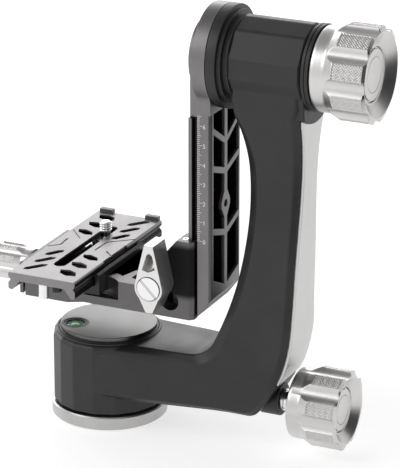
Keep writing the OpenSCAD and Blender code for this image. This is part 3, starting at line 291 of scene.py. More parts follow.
def half_width(point):
    """Half the arm's width at a point of its side outline."""
    at_pan_axis, taper, foot_end = 29.4, 0.167, 17.5
    limb = [(44, 30), (56, 19.3), (66, 17.3), (80, 16), (102, 14.9), (130, 12.6), (150, 12.2), (165, 14.2),
            (178, 18.2), (188, 21.4), (200, 21.4)]
    return min(max(at_pan_axis - taper * point[0], foot_end), through(limb, point[1]))


def on_circle(centre, radius, degrees):
    """A point of a circle, at an angle from its first axis."""
    angle = math.radians(degrees)
    return centre[0] + radius * math.cos(angle), centre[1] + radius * math.sin(angle)


def part_way(start, end, share):
    """A value between two others, by its share of the way."""
    return start + share * (end - start)


def arm_stations():
    """Pairs of points of the arm's inner and outer side outline, from the pan housing to the barrel."""
    foot_x, inner_end, outer_end = 4.8, 53.66, 84.85
    inner_corner, outer_corner = ((inner_end, 60), 14), ((outer_end, 25), 8)
    throat, throat_angles = ((-97.5, 131), 181), (-25.16, 14.7)
    heel, heel_angle, heel_z = ((23.6, 70), 84), -36.3, (20.3, 70.0)
    heel_x, saddle_x, saddle_z = 107.6, 111.6, 178.5
    neck_x, neck_z, back_x, back_z = 76.2, 184, (113.0, 113.6), 182
    foot_steps, corner_steps, limb_steps = 8, 10, 30
    pairs = []
    for i in range(foot_steps):
        t = i / foot_steps
        pairs.append(((part_way(foot_x, inner_end, t), DECK_Z), (part_way(foot_x, outer_end, t), FOOT_Z)))
    for i in range(corner_steps):
        t = i / corner_steps
        pairs.append((on_circle(*inner_corner, part_way(-90, throat_angles[0], t)),
                      on_circle(*outer_corner, part_way(-90, heel_angle, t))))
    for i in range(limb_steps + 1):
        t = i / limb_steps
        z = part_way(heel_z[0], saddle_z, t)
        if z < heel_z[1]:
            x = heel[0][0] + math.sqrt(heel[1] ** 2 - (heel_z[1] - z) ** 2)
        else:
            x = part_way(heel_x, saddle_x, (z - heel_z[1]) / (saddle_z - heel_z[1]))
        pairs.append((on_circle(*throat, part_way(*throat_angles, t)), (x, z)))
    pairs.append(((neck_x, neck_z), (back_x[0], back_z)))
    pairs.append(((neck_x, TILT_Z), (back_x[1], TILT_Z)))
    return [(Vector(inner), Vector(outer)) for inner, outer in pairs]


def rounded(points, radius, steps=3):
    """An open outline whose inner corners are rounded, each by the same number of points."""
    out = [points[0]]
    for before, corner, after in zip(points, points[1:], points[2:]):
        back, on = before - corner, after - corner
        cut = min(radius, back.length * 0.45, on.length * 0.45)
        start, end = corner + back.normalized() * cut, corner + on.normalized() * cut
        for i in range(steps + 1):
            t = i / steps
            out.append(start * (1 - t) ** 2 + corner * 2 * t * (1 - t) + end * t ** 2)
    out.append(points[-1])
    return out


def arm_section(inner, outer):
    """The section between two points of the side outline, as distances from the inner one and half widths.

    Its inner corner is a chamfer that narrows up the arm, and its outer edge a lip round the inlay's seat.
    """
    length = (outer - inner).length
    side_in, side_out = half_width(inner), half_width(outer)
    on_foot = [(4.8, 9.6), (18.6, 7.2), (32.5, 5.5), (49, 3.4), (60, 3.0)]
    fade = through([(150, 1.0), (178, 0.25)], inner[1])
    chamfer, depth = through(on_foot, inner[0]) * fade, 5.5 * fade
    bulge = 0.16 * through([(10, 1.0), (50, 0.0)], inner[0])
    seat = length - 0.9 * through([(30, 0.0), (40, 1.0)], outer[1])
    half = [(0, 0), (0, side_in - chamfer), (depth * (0.5 - bulge), side_in - chamfer * (0.5 - bulge)),
            (depth, side_in), (length * 0.55, (side_in + side_out) / 2), (length - 3.0, side_out),
            (length - 0.6, side_out - 2.3), (length, side_out - 2.7), (length, side_out - 3.1),
            (seat, side_out - 3.3), (seat, 0)]
    return [Vector(p) for p in half]


def mirrored(half, start, along):
    """A closed outline in space from its half, at a point of the side outline and along a direction."""
    loop = [(p[0], -p[1]) for p in half] + [(p[0], p[1]) for p in reversed(half[1:-1])]
    return [(start[0] + along[0] * s, y, start[1] + along[1] * s) for s, y in loop]


def ring(mesh, points):
    """A closed loop of edges through points."""
    corners = [mesh.verts.new(point) for point in points]
    return [mesh.edges.new(pair) for pair in zip(corners, corners[1:] + corners[:1])]


def skin(mesh, outlines):
    """Skins a row of closed outlines and caps its ends."""
    loops = [ring(mesh, points) for points in outlines]
    for first, second in zip(loops, loops[1:]):
        bmesh.ops.bridge_loops(mesh, edges=first + second)
    for end in (loops[0], loops[-1]):
        bmesh.ops.contextual_create(mesh, geom=end)


def skin_arm(mesh):
    """The foot and the limb."""
    outlines = []
    for inner, outer in arm_stations():
        half = rounded(arm_section(inner, outer), 0.8)
        outlines.append(mirrored(half, inner, (outer - inner).normalized()))
    skin(mesh, outlines)


def prism(mesh, corners, levels, place, rounding):
    """A prism over a closed outline, from (distance along, inset) levels and a function that places it."""
    middle = sum(corners, Vector((0, 0))) / len(corners)
    size = max((corner - middle).length for corner in corners)
    closed = [(corners[-1] + corners[0]) / 2, *corners, (corners[-1] + corners[0]) / 2]
    soft = rounded(closed, rounding)[:-1]
    skin(mesh, [[place(level, middle + (p - middle) * (1 - inset / size)) for p in soft]
                for level, inset in levels])


def both_sides(angles, radius):
    """Corners at angles to either side of the vertical."""
    one = [Vector((radius * math.sin(math.radians(a)), radius * math.cos(math.radians(a)))) for a in angles]
    return one + [Vector((-p[0], p[1])) for p in reversed(one)]


def skin_housing(mesh):
    """The pan housing, with a bevelled rim."""
    corners = both_sides([12, 35, 58, 80.5, 103.6, 123, 144.5, 167], HOUSING_R)
    levels = [(8, 0.7), (8.5, 0.0), (42.6, 0.0), (43.8, 0.25), (44.8, 0.9), (45.5, 1.8), (46, 3.2)]
    prism(mesh, corners, levels, lambda level, p: (p[1], p[0], level), 0.9)


def skin_barrel(mesh):
    """The barrel round the tilt shaft, bevelled at both ends."""
    corners = both_sides([5.5, 36.5, 76.5, 101.5, 140, 174], BARREL_R)
    near, far = BARREL_X
    levels = [(near, 2.2), (near + 0.5, 1.1), (near + 1.4, 0.25), (near + 2.2, 0.0), (far - 1.7, 0.0),
              (far - 1.4, 0.25), (far - 0.2, 1.7), (far, 2.0)]
    prism(mesh, corners, levels, lambda level, p: (level, p[0], TILT_Z + p[1]), 1.3)


def skin_saddle(mesh):
    """The lip under the barrel that closes the inlay's upper end."""
    radius, spread, top = 28.0, 36.0, 4.0
    arc = [on_circle((0, 0), radius, -90 + spread * (i / 12 - 1)) for i in range(25)]
    arc = [Vector((y, z)) for y, z in arc if abs(y) < half_width((112, TILT_Z + z)) - 1.2]
    corners = arc + [Vector((arc[-1][0] + 2, -top)), Vector((arc[0][0] - 2, -top))]
    levels = [(108, 0), (113.5, 0), (114.0, 0.3), (114.3, 1.0)]
    prism(mesh, corners, levels, lambda level, p: (level, p[0], TILT_Z + p[1]), 0.4)


# Meshes are drawn in millimetres and made in metres. An edge that bends more than SHARP keeps its crease.
MM = 0.001
SHARP = math.radians(38)


def make_piece(name, mesh, finish, body, *stands_for, slot=None):
    """Turns a mesh drawn in millimetres into a piece that rides on a body and stands for CAD nodes."""
    bmesh.ops.scale(mesh, vec=(MM, MM, MM), verts=mesh.verts)
    bmesh.ops.recalc_face_normals(mesh, faces=mesh.faces)
    for edge in mesh.edges:
        edge.smooth = len(edge.link_faces) != 2 or edge.calc_face_angle() < SHARP
    for face in mesh.faces:
        face.smooth = True
    data = bpy.data.meshes.new(name)
    mesh.to_mesh(data)
    mesh.free()
    data.materials.append(finishes[finish])
    piece = bpy.data.objects.new(name, data)
    scene.collection.objects.link(piece)
    weights = piece.modifiers.new("face_weights", "WEIGHTED_NORMAL")
    weights.keep_sharp = True
    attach(piece, body)
    if stands_for:
        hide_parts(*stands_for)


arm_mesh = bmesh.new()
for skin_part in (skin_arm, skin_housing, skin_barrel, skin_saddle):
    skin_part(arm_mesh)
make_piece("arm_casting", arm_mesh, "arm_coat", "arm", "arm")


# ---- Inlay -----------------------------------------------------------------------------------------------
# A brushed aluminium band let into the limb's outer face, raised a little, with rounded edges. It runs
# from the heel up to the saddle under the barrel and is held by the groove round it.
def make_brushed_lines():
    """Fine straight lines, drawn out along the direction with the smallest stretch."""
    tree, given, result = new_group(
        "brushed_lines", {"Stretch": ("Vector", (3000, 3000, 60)), "Depth": ("Float", 0.3)},
        {"Normal": "Vector"})
    place = shade(tree, "TexCoord").outputs["Object"]
    drawn = shade(tree, "VectorMath", {0: place, 1: given["Stretch"]}, operation="MULTIPLY").outputs[0]
    lines = shade(tree, "TexNoise", {"Vector": drawn, "Scale": 1.0, "Detail": 2.0})
    tree.links.new(bumped(tree, lines.outputs[0], given["Depth"]), result["Normal"])


make_brushed_lines()
surface("inlay_metal", (0.56, 0.555, 0.55), (0.64, 0.635, 0.63), (0.30, 0.38), 1.0, "brushed_lines",
        {"Stretch": (2500, 2500, 40), "Depth": 0.5})


def inlay_outlines():
    """Sections of the band square to the arm's outer side outline."""
    bottom_z, top_z = 31.0, 181.0
    margin, rise, sunk, end_drop, edge_round = 3.75, 1.5, -1.2, 0.5, 0.45
    outers = [outer for _, outer in arm_stations() if bottom_z < outer[1] < top_z]
    outlines = []
    for i, point in enumerate(outers):
        run = outers[min(i + 1, len(outers) - 1)] - outers[max(i - 1, 0)]
        side = half_width(point) - margin
        top = rise - end_drop if i == 0 else rise
        half = [Vector(p) for p in ((sunk, 0), (sunk, side), (top, side), (top, 0))]
        outlines.append(mirrored(rounded(half, edge_round), point, Vector((run[1], -run[0])).normalized()))
    return outlines


inlay_mesh = bmesh.new()
skin(inlay_mesh, inlay_outlines())
make_piece("inlay_band", inlay_mesh, "inlay_metal", "arm", "arm_inlay")

# ---- Thrust flange and friction ring ---------------------------------------------------------------------
# Turned rings at the barrel's two ends: the stepped flange that the rail's head turns against, anodised
# like the arm, and the black ring that the tilt knob's washer presses on.
surface("black_plastic", (0.012, 0.012, 0.0125), (0.018, 0.018, 0.0185), (0.35, 0.5), 0.0, "blasted_grain",
        {"Scale": 1200.0, "Depth": 0.3})
AXIS_X = (1, 0, 0)


def turned(profile, steps=160, closed=True, turn=math.tau):
    """A turned solid about the X axis, or a sector of one, from (place along, radius) points."""
    mesh = bmesh.new()
    corners = [mesh.verts.new((along, 0, radius)) for along, radius in profile]
    ends = corners[1:] + corners[:1] if closed else corners[1:]
    edges = [mesh.edges.new(pair) for pair in zip(corners, ends)]
    bmesh.ops.spin(mesh, geom=corners + edges, cent=(0, 0, 0), axis=AXIS_X, angle=turn, steps=steps,
                   use_merge=turn == math.tau)
    bmesh.ops.remove_doubles(mesh, verts=mesh.verts, dist=0.0005)
    return mesh


def soft_profile(points, rounding=0.3):
    """A closed profile with rounded corners. The first point's own corner stays as it is."""
    corners = [Vector(p) for p in points]
    return rounded([*corners, corners[0]], rounding, 2)[:-1]


def placed(mesh, x, z):
    """Moves a solid turned about X to its axis."""
    bmesh.ops.translate(mesh, vec=(x, 0, z), verts=mesh.verts)
    return mesh


flange = soft_profile([(68, 8.5), (66.25, 8.5), (66.25, 26), (71.45, 26), (71.45, 23.5), (73.25, 23.5),
                       (73.25, 20.5), (75.6, 20.5), (75.6, 15), (70, 15), (70, 8.5)], 0.45)
make_piece("flange_ring", placed(turned(flange, 200), 0, TILT_Z), "arm_coat", "arm", "thrust_flange")
friction = soft_profile([(114.6, 12), (114.5, 21.6), (116.0, 21.7), (116.15, 21.2), (116.5, 21.2),
                         (116.65, 21.7), (118.2, 21.7), (118.2, 12)], 0.2)
make_piece("friction_band", placed(turned(friction, 200), 0, TILT_Z), "black_plastic", "arm",
           "friction_ring")


# ---- Pan cap ---------------------------------------------------------------------------------------------
# A satin cap turned from aluminium closes the pan housing, with a dark groove and a thin raised rim round
# it. The cap and the milled pieces are CAD shapes whose sharp corners are broken by a small chamfer.
def make_turned_marks():
    """Fine rings about an axis, on a turned piece's faces and round its sides."""
    tree, given, result = new_group(
        "turned_marks",
        {"Centre": ("Vector", (0, 0, 0)), "Across": ("Vector", (0, 1, 1)), "Pitch": ("Float", 0.0003),
         "Depth": ("Float", 0.3)},
        {"Normal": "Vector"})
    place = shade(tree, "TexCoord").outputs["Object"]
    local = shade(tree, "VectorMath", {0: place, 1: given["Centre"]}, operation="SUBTRACT").outputs[0]
    across = shade(tree, "VectorMath", {0: local, 1: given["Across"]}, operation="MULTIPLY").outputs[0]
    radius = shade(tree, "VectorMath", {0: across}, operation="LENGTH").outputs["Value"]
    along = shade(tree, "VectorMath", {0: local, 1: across}, operation="SUBTRACT").outputs[0]
    axial = shade(tree, "VectorMath", {0: along, 1: (1, 1, 1)}, operation="DOT_PRODUCT").outputs["Value"]
    total = shade(tree, "Math", {0: radius, 1: axial}, operation="ADD").outputs[0]
    turns = shade(tree, "Math", {0: total, 1: given["Pitch"]}, operation="DIVIDE").outputs[0]
    marks = shade(tree, "TexNoise", {"W": turns, "Scale": 1.0, "Detail": 3.0}, noise_dimensions="1D")
    tree.links.new(bumped(tree, marks.outputs[0], given["Depth"]), result["Normal"])


make_turned_marks()
surface("cap_metal", (0.125, 0.123, 0.122), (0.16, 0.158, 0.156), (0.30, 0.40), 1.0, "turned_marks",
        {"Centre": (0, 0, 0), "Across": (1, 1, 0), "Pitch": 0.0004, "Depth": 0.12})
UPRIGHT = Matrix.Rotation(math.radians(-90), 4, "Y")
slots = {entry["node"]: entry["material_slot"] for entry in frame["record"]["subparts"]}
bodies = frame["record"]["behaviour"]["bodies"]
body_of = {node: body for body, nodes in bodies.items() for node in nodes}


def merged_copy(node):
    """A copy of a CAD node in millimetres, with its triangles joined into whole faces."""
    mesh = bmesh.new()
    mesh.from_mesh(frame["nodes"][node].data)
    bmesh.ops.scale(mesh, vec=(1 / MM, 1 / MM, 1 / MM), verts=mesh.verts)
    bmesh.ops.remove_doubles(mesh, verts=mesh.verts, dist=0.001)
    bmesh.ops.dissolve_limit(mesh, angle_limit=math.radians(0.5), verts=mesh.verts, edges=mesh.edges)
    return mesh


def dressed(node, name, width, mesh=None):
    """A copy of a CAD node with its sharp corners bevelled by a width in millimetres."""
    mesh = mesh or merged_copy(node)
    sharp = math.radians(28)
    corners = [e for e in mesh.edges if len(e.link_faces) == 2 and e.calc_face_angle() > sharp]
    bmesh.ops.bevel(mesh, geom=corners, offset=width, offset_type="OFFSET", segments=2, profile=0.5,
                    affect="EDGES", material=-1, clamp_overlap=False)
    make_piece(name, mesh, slots[node], body_of[node], node)


def upright(mesh, x=0.0, y=0.0):
    """Stands a solid turned about X on end, about an upright axis at x and y."""
    bmesh.ops.transform(mesh, matrix=Matrix.Translation((x, y, 0)) @ UPRIGHT, verts=mesh.verts)
    return mesh


# The cap's rim moves in a little, to leave room for the groove.
cap_mesh = merged_copy("pan_cap")
cap_r, disc_r = 25.8, 24.9
for vert in cap_mesh.verts:
    if vert.co.xy.length > disc_r:
        vert.co.xy *= disc_r / cap_r
dressed("pan_cap", "cap_disc", 0.35, cap_mesh)
seat_profile = soft_profile([(45.8, 20), (46.95, 20), (46.95, 25.3), (46.55, 25.8), (45.8, 25.8)], 0.2)
make_piece("cap_groove", upright(turned(seat_profile, 200)), "black_plastic", "arm")
rim_profile = soft_profile([(45.6, 25.9), (46.6, 25.9), (46.85, 26.3), (46.3, 27.2), (45.6, 27.2)], 0.2)
make_piece("cap_rim", upright(turned(rim_profile, 200)), "arm_coat", "arm")

# ---- Bubble level ----------------------------------------------------------------------------------------
# A round level is let into the cap: a black cup and surround, a green fluid with a bubble, and a clear
# lens with its sighting ring. The fluid's faint glow is painted light.
fluid_shader = surface("level_fluid", (0.03, 0.85, 0.33), (0.08, 0.95, 0.42), (0.08, 0.15), 0.0,
                       "blasted_grain", {"Scale": 300.0, "Depth": 0.02})
# Painted light: the fluid glows a little, though it is no lamp.
fluid_shader["Emission Color"].default_value = (0.02, 0.42, 0.14, 1)
fluid_shader["Emission Strength"].default_value = 0.35
surface("bubble_air", (0.45, 0.75, 0.45), (0.55, 0.85, 0.5), (0.1, 0.2), 0.0, "blasted_grain",
        {"Scale": 500.0, "Depth": 0.05})
lens_shader = surface("clear_lens", (0.9, 0.97, 0.92), (0.95, 1.0, 0.96), (0.02, 0.06), 0.0,
                      "blasted_grain", {"Scale": 300.0, "Depth": 0.02})
lens_shader["Alpha"].default_value = 0.03
level_x, level_y = on_circle((0, 0), 17.4, 214)
surround = [(48.5, 5.9), (49.05, 6.0), (49.1, 6.9), (48.95, 7.35), (48.5, 7.4)]
make_piece("level_surround", upright(turned(surround, 96), level_x, level_y), "black_plastic", "arm")
bubble = [(48.15, 0), (48.1, 1.2), (47.85, 1.75), (47.5, 1.9), (47.2, 1.6), (47.1, 0)]
off_x, off_y = -0.5, 0.6
bubble_mesh = upright(turned(bubble, 48, closed=False), level_x + off_x, level_y + off_y)
make_piece("level_bubble", bubble_mesh, "bubble_air", "arm", slot="level_fluid")
sight = [(48.1, 2.5), (48.16, 2.5), (48.16, 2.85), (48.1, 2.85)]
make_piece("level_sight_ring", upright(turned(sight, 64), level_x, level_y), "black_plastic", "arm")

# ---- Knobs -----------------------------------------------------------------------------------------------
# Turned aluminium knobs with milled flutes between knurled panels and a polished dish at the end. They
# screw onto the tilt shaft and the pan lock's stud, and a turned cap closes each dish.
knob_shader = surface("knob_metal", (0.60, 0.588, 0.583), (0.68, 0.668, 0.663), (0.28, 0.36), 1.0,
                      "turned_marks", {"Centre": (0, 0, TILT_Z * MM), "Across": (0, 1, 1), "Pitch": 0.0005,
                                       "Depth": 0.12})
knob_tree = finishes["knob_metal"].node_tree
# Painted shade: the knurl's grooves and other hollows, found by their low pointiness, are darkened.
bend = shade(knob_tree, "NewGeometry").outputs["Pointiness"]
groove_shade_range = {"Value": bend, "From Min": 0.38, "From Max": 0.485, "To Min": 0.12}
groove = shade(knob_tree, "MapRange", groove_shade_range).outputs["Result"]
plain_tone = knob_shader["Base Color"].links[0].from_socket
knob_tone_with_groove_shade = mixed(knob_tree, groove, (0.05, 0.049, 0.048, 1), plain_tone)
knob_tree.links.new(knob_tone_with_groove_shade, knob_shader["Base Color"])

# Places along a knob are shares of its length, and places across it are shares of its radius.
SKIRT_END, CONE_START, PANEL_START, PANEL_LENGTH, DISH = 0.2, 0.25, 0.42, 0.55, 0.14
SKIRT_R, DISH_R, CAP_R, CAP_LINE_R = 0.89, 0.62, 0.57, 0.37
FIRST_FLUTE = math.radians(94)


def knob_profile(length, radius, rim):
    """The knob's outline from its recess over the skirt, the panels and the rim to the dish's floor."""
    bore = [(1.5, radius * 0.6), (0.02, radius * 0.62), (0, radius * 0.875),
            (length * 0.05, radius * SKIRT_R), (length * SKIRT_END, radius * SKIRT_R)]
    start = rounded([Vector(p) for p in bore], 0.5)
    cone_steps, panel_step, dish_steps = 16, 0.27, 8
    cone_length, cone_rise = PANEL_START - CONE_START, 1 - SKIRT_R
    cone = [Vector((length * (CONE_START + cone_length * i / cone_steps),
                    radius * (SKIRT_R + cone_rise * i / cone_steps))) for i in range(cone_steps + 1)]
    count = round(length * PANEL_LENGTH / panel_step)
    panel = [Vector((length * (PANEL_START + PANEL_LENGTH * i / count), radius)) for i in range(1, count + 1)]
    end = [(length - 0.1, rim + 0.2), (length, rim), (length, rim - 0.45), (length - 0.2, rim - 0.8)]
    floor_x, (dish_x, dish_r) = length * (1 - DISH), end[-1]
    dish = [(part_way(dish_x, floor_x, i / dish_steps), part_way(dish_r, radius * DISH_R, i / dish_steps))
            for i in range(1, dish_steps + 1)]
    last = [(floor_x, radius * (CAP_R + 0.01)), (floor_x - 0.9, radius * CAP_R),
            (floor_x - 1.8, radius * 0.4)]
    return start + cone + panel + [Vector(p) for p in end + dish + last]


def knurl(along, around):
    """Height of a diamond knurl between 0 in its grooves and 1 on its points."""
    pitch = 1.5
    first, second = (along + around) / pitch, (along - around) / pitch
    return min(abs((first % 1) - 0.5), abs((second % 1) - 0.5)) * 2


def cut_flutes(mesh, length, radius, flutes, flute_radius, flute_depth):
    """Moves a turned knob's skin in to its milled flutes and knurls the panels between them."""
    knurl_depth, knurl_start, knurl_end = 0.5, length * 0.43, length * 0.965
    pitch = math.tau / flutes
    axis_at = radius + flute_radius - flute_depth
    for vert in mesh.verts:
        x, distance = vert.co.x, math.hypot(vert.co.y, vert.co.z)
        if x < length * SKIRT_END or distance < radius - flute_depth - 0.1:
            continue
        angle = math.atan2(-vert.co.y, vert.co.z)
        off = (angle - FIRST_FLUTE + pitch / 2) % pitch - pitch / 2
        target = distance
        reach = axis_at * math.sin(off)
        if abs(reach) < flute_radius:
            target = min(target, axis_at * math.cos(off) - math.sqrt(flute_radius ** 2 - reach ** 2))
        if target >= distance and knurl_start < x < knurl_end:
            target -= knurl_depth * (1 - knurl(x, angle * radius))
        vert.co.y *= target / distance
        vert.co.z *= target / distance


def fluted_knob(length, radius, flutes, flute_radius, flute_depth, steps=72):
    """A sector from flute to flute is spun and copied round the axis, and then gets its flutes."""
    pitch = math.tau / flutes
    rim = radius - flute_depth - 0.15
    mesh = turned(knob_profile(length, radius, rim), steps, closed=False, turn=pitch)
    sector = mesh.verts[:] + mesh.edges[:] + mesh.faces[:]
    for i in range(1, flutes):
        copy = bmesh.ops.duplicate(mesh, geom=sector)["geom"]
        bmesh.ops.rotate(mesh, matrix=Matrix.Rotation(i * pitch, 3, "X"),
                         verts=[part for part in copy if isinstance(part, bmesh.types.BMVert)])
    bmesh.ops.remove_doubles(mesh, verts=mesh.verts, dist=0.001)
    cut_flutes(mesh, length, radius, flutes, flute_radius, flute_depth)
    return mesh


def knob_cap(length, radius):
    """The disc that closes the dish, with a lip, a groove and a concentric line."""
    floor_x, edge, line = length * (1 - DISH), radius * CAP_R, radius * CAP_LINE_R
    return turned([(floor_x - 1.5, 0), (floor_x - 1.5, edge - 0.15), (floor_x - 0.6, edge - 0.15),
                   (floor_x - 0.55, edge - 0.8), (floor_x + 0.3, edge - 0.85), (floor_x + 0.5, edge - 1.05),
                   (floor_x + 0.5, line + 0.3), (floor_x + 0.25, line + 0.15), (floor_x + 0.25, line - 0.15),
                   (floor_x + 0.5, line - 0.3), (floor_x + 0.5, 0)], 192, closed=False)


def large_knob(node, x, z, length, radius, **flutes):
    """A knob and its cap, on an axis at z, with the knob's inner end at x."""
    knob = fluted_knob(length, radius, **flutes)
    make_piece(node + "_body", placed(knob, x, z), "knob_metal", node, node)
    make_piece(node + "_disc", placed(knob_cap(length, radius), x, z), "knob_metal", node, node + "_cap")


large_knob("tilt_knob", 118.5, TILT_Z, 29.1, 24.0, flutes=9, flute_radius=6.0, flute_depth=2.28)
large_knob("pan_knob", 107.0, PAN_LOCK_Z, 27.1, 20.4, flutes=8, flute_radius=6.53, flute_depth=2.53)

# ---- Pan lock socket and stud ----------------------------------------------------------------------------
# A black sleeve in the arm's heel guides the pan knob's stud. The stud's polished collar shows between
# the sleeve and the knob as two bright rims with a groove.
surface("polished_steel", (0.80, 0.80, 0.805), (0.86, 0.86, 0.865), (0.08, 0.16), 1.0, "turned_marks",
        {"Centre": (0, 0, PAN_LOCK_Z * MM), "Across": (0, 1, 1), "Pitch": 0.0002, "Depth": 0.05})
socket = turned(soft_profile([(90, 4.2), (88, 4.2), (88, 8.5), (98.3, 8.5), (98.3, 4.2)], 0.5), 96)
make_piece("lock_socket", placed(socket, 0, PAN_LOCK_Z), "black_plastic", "arm", "pan_lock_socket")
stud_profile = [(89, 0), (89, 3.8), (98.5, 3.8), (98.6, 5.4), (98.9, 5.7), (99.9, 5.7), (100.2, 5.3),
                (100.5, 4.6), (101.6, 4.6), (101.9, 5.3), (102.2, 5.7), (103.4, 5.7), (103.7, 5.3),
                (104.2, 4.8), (108, 4.8), (108, 3.9), (126, 3.9), (126, 0)]
stud = turned(stud_profile, 96, closed=False)
make_piece("lock_stud", placed(stud, 0, PAN_LOCK_Z), "polished_steel", "pan_knob", "pan_knob_stud")


# ---- Swing rail and scale --------------------------------------------------------------------------------
# The rail is milled from one bar and anodised grey, with a dovetail, a round head and pockets. Painted
# shade darkens the pockets and the groove along the rail. Its scale is printed in white on the narrow face,
# with a tick for each millimetre and a digit for each ten.
def make_inside_box():
    """Inside of a box with soft sides, as a mask. It marks where painted shade darkens the coat."""
    tree, given, result = new_group(
        "inside_box",
        {"Centre": ("Vector", (0, 0, 0)), "Half": ("Vector", (1, 1, 1)), "Soft": ("Float", 0.0003)},
        {"Mask": "Float"})
    place = shade(tree, "TexCoord").outputs["Object"]
    local = shade(tree, "VectorMath", {0: place, 1: given["Centre"]}, operation="SUBTRACT").outputs[0]
    away = shade(tree, "VectorMath", {0: local}, operation="ABSOLUTE").outputs[0]
    spare = shade(tree, "VectorMath", {0: given["Half"], 1: away}, operation="SUBTRACT").outputs[0]
    sides = shade(tree, "SeparateXYZ", {0: spare}).outputs
    least = shade(tree, "Math", {0: sides[0], 1: sides[1]}, operation="MINIMUM").outputs[0]
    least = shade(tree, "Math", {0: least, 1: sides[2]}, operation="MINIMUM").outputs[0]
    mask = shade(tree, "MapRange", {"Value": least, "From Max": given["Soft"]},
                 interpolation_type="SMOOTHSTEP")
    tree.links.new(mask.outputs["Result"], result["Mask"])


make_inside_box()
# Painted shade inside the pockets and in the groove along the rail.
rail_pocket_shade = ((50, -17.9, 60), (64.6, 17.9, 172), 0.3)
rail_groove_shade = ((55.6, -18.4, 60), (58.6, 18.4, 172), 0.2)
surface("rail_coat", (0.19, 0.182, 0.186), (0.23, 0.221, 0.225), (0.36, 0.46), 0.9, "blasted_grain",
        {"Scale": 1600.0, "Depth": 0.3}, edge=0.25, edge_tone=0.6, painted_shade_boxes=[rail_pocket_shade, rail_groove_shade])
dressed("swing_rail", "rail_bar", 0.3)
surface("scale_print", (0.78, 0.78, 0.78), (0.88, 0.88, 0.88), (0.5, 0.6), 0.0, "blasted_grain",
        {"Scale": 900.0, "Depth": 0.1})
RAIL_SIDE_Y, ZERO_Z, SCALE_MM, PRINT_T = -18.5, 108.3, 65, 0.03


def print_scale():
    """The millimetres' ticks, longer at each five and each ten."""
    mesh = bmesh.new()
    scale_x, tick_height = 58.85, 0.3
    for i in range(SCALE_MM + 1):
        reach = 2.7 if i % 10 == 0 else 2.2 if i % 5 == 0 else 1.4
        tick = Matrix.Translation((scale_x + reach / 2, RAIL_SIDE_Y - PRINT_T / 2, ZERO_Z + i))
        size = Matrix.Diagonal((reach, PRINT_T, tick_height, 1))
        bmesh.ops.create_cube(mesh, size=1.0, matrix=tick @ size)
    return mesh


def print_digits():
    """The centimetres' digits, made from a plain typeface's outlines."""
    mesh = bmesh.new()
    facing_front = Matrix(((1, 0, 0, 0), (0, 0, -1, 0), (0, 1, 0, 0), (0, 0, 0, 1)))
    digit_x, digit_size, drop = 62.6, 3.1, 0.35
    for i in range(SCALE_MM // 10 + 1):
        letter = bpy.data.curves.new("digit", "FONT")
        letter.body = str(i)
        letter.size = digit_size
        letter.offset = 0.06
        letter.align_x, letter.align_y = "CENTER", "CENTER"
        holder = bpy.data.objects.new("digit", letter)
        flat = bpy.data.meshes.new_from_object(holder)
        place = Matrix.Translation((digit_x, RAIL_SIDE_Y - PRINT_T, ZERO_Z + 10 * i - drop))
        flat.transform(place @ facing_front)
        mesh.from_mesh(flat)
        bpy.data.objects.remove(holder)
        bpy.data.curves.remove(letter)
        bpy.data.meshes.remove(flat)
    return mesh


make_piece("scale_ticks", print_scale(), "scale_print", "swing", slot="plate_metal")
make_piece("scale_digits", print_digits(), "scale_print", "swing", slot="plate_metal")


def ledge_bars():
    """Low ledges near the pockets' lower ends, as the back windows' edges show through the lattice."""
    mesh = bmesh.new()
    ledge_x, ledge_depth, ledge_height = 62.5, 1.6, 0.9
    left, right = (-11.3, 6.6), (9.0, 5.4)
    for (y, width), z in ((left, 164.6), (left, 146.4), (left, 132.1), (right, 121.0)):
        size = Matrix.Diagonal((ledge_depth, width, ledge_height, 1))
        bmesh.ops.create_cube(mesh, size=1.0, matrix=Matrix.Translation((ledge_x, y, z)) @ size)
    bmesh.ops.bevel(mesh, geom=mesh.edges[:], offset=0.2, segments=2, profile=0.5, affect="EDGES",
                    material=-1)
    return mesh


make_piece("lattice_ledges", ledge_bars(), "rail_coat", "swing")

# ---- Carriage --------------------------------------------------------------------------------------------
# The L-shaped bracket slides on the rail and is locked by the lever. Its deck carries the black jaw of
# the plate clamp. All are milled from bar and bead blasted. The bracket is anodised grey, and painted shade
# darkens its deck's windows and its whole leg.
# Painted shade: the deck's windows and the leg are darkened in the bracket's colour.
deck_window_shade = ((-60, -15, 60), (43, 21.6, 80.2), 0.4)
leg_painted_shade = ((41, -30, 76), (62, 30, 107.3), 4)
surface("bracket_metal", (0.125, 0.120, 0.122), (0.155, 0.149, 0.151), (0.34, 0.44), 0.9, "blasted_grain",
        {"Scale": 1700.0, "Depth": 0.35}, edge=0.3, edge_tone=0.7, painted_shade_boxes=[deck_window_shade, leg_painted_shade])
surface("jaw_coat", (0.018, 0.018, 0.0185), (0.026, 0.026, 0.027), (0.35, 0.45), 0.2, "blasted_grain",
        {"Scale": 1500.0, "Depth": 0.3}, edge=0.15, edge_tone=0.4)
surface("lever_metal", (0.74, 0.73, 0.725), (0.80, 0.79, 0.785), (0.32, 0.42), 0.85, "blasted_grain",
        {"Scale": 1900.0, "Depth": 0.25}, edge=0.2)
dressed("platform_bracket", "bracket_body", 0.35)
dressed("fixed_jaw", "jaw_rail", 0.2)
dressed("clamp_jaw", "jaw_plate", 0.25)
dressed("rail_jaw", "jaw_block", 0.3)
dressed("lock_lever", "lever_arm", 0.22)
dressed("lever_screw", "lever_pivot_screw", 0.2)

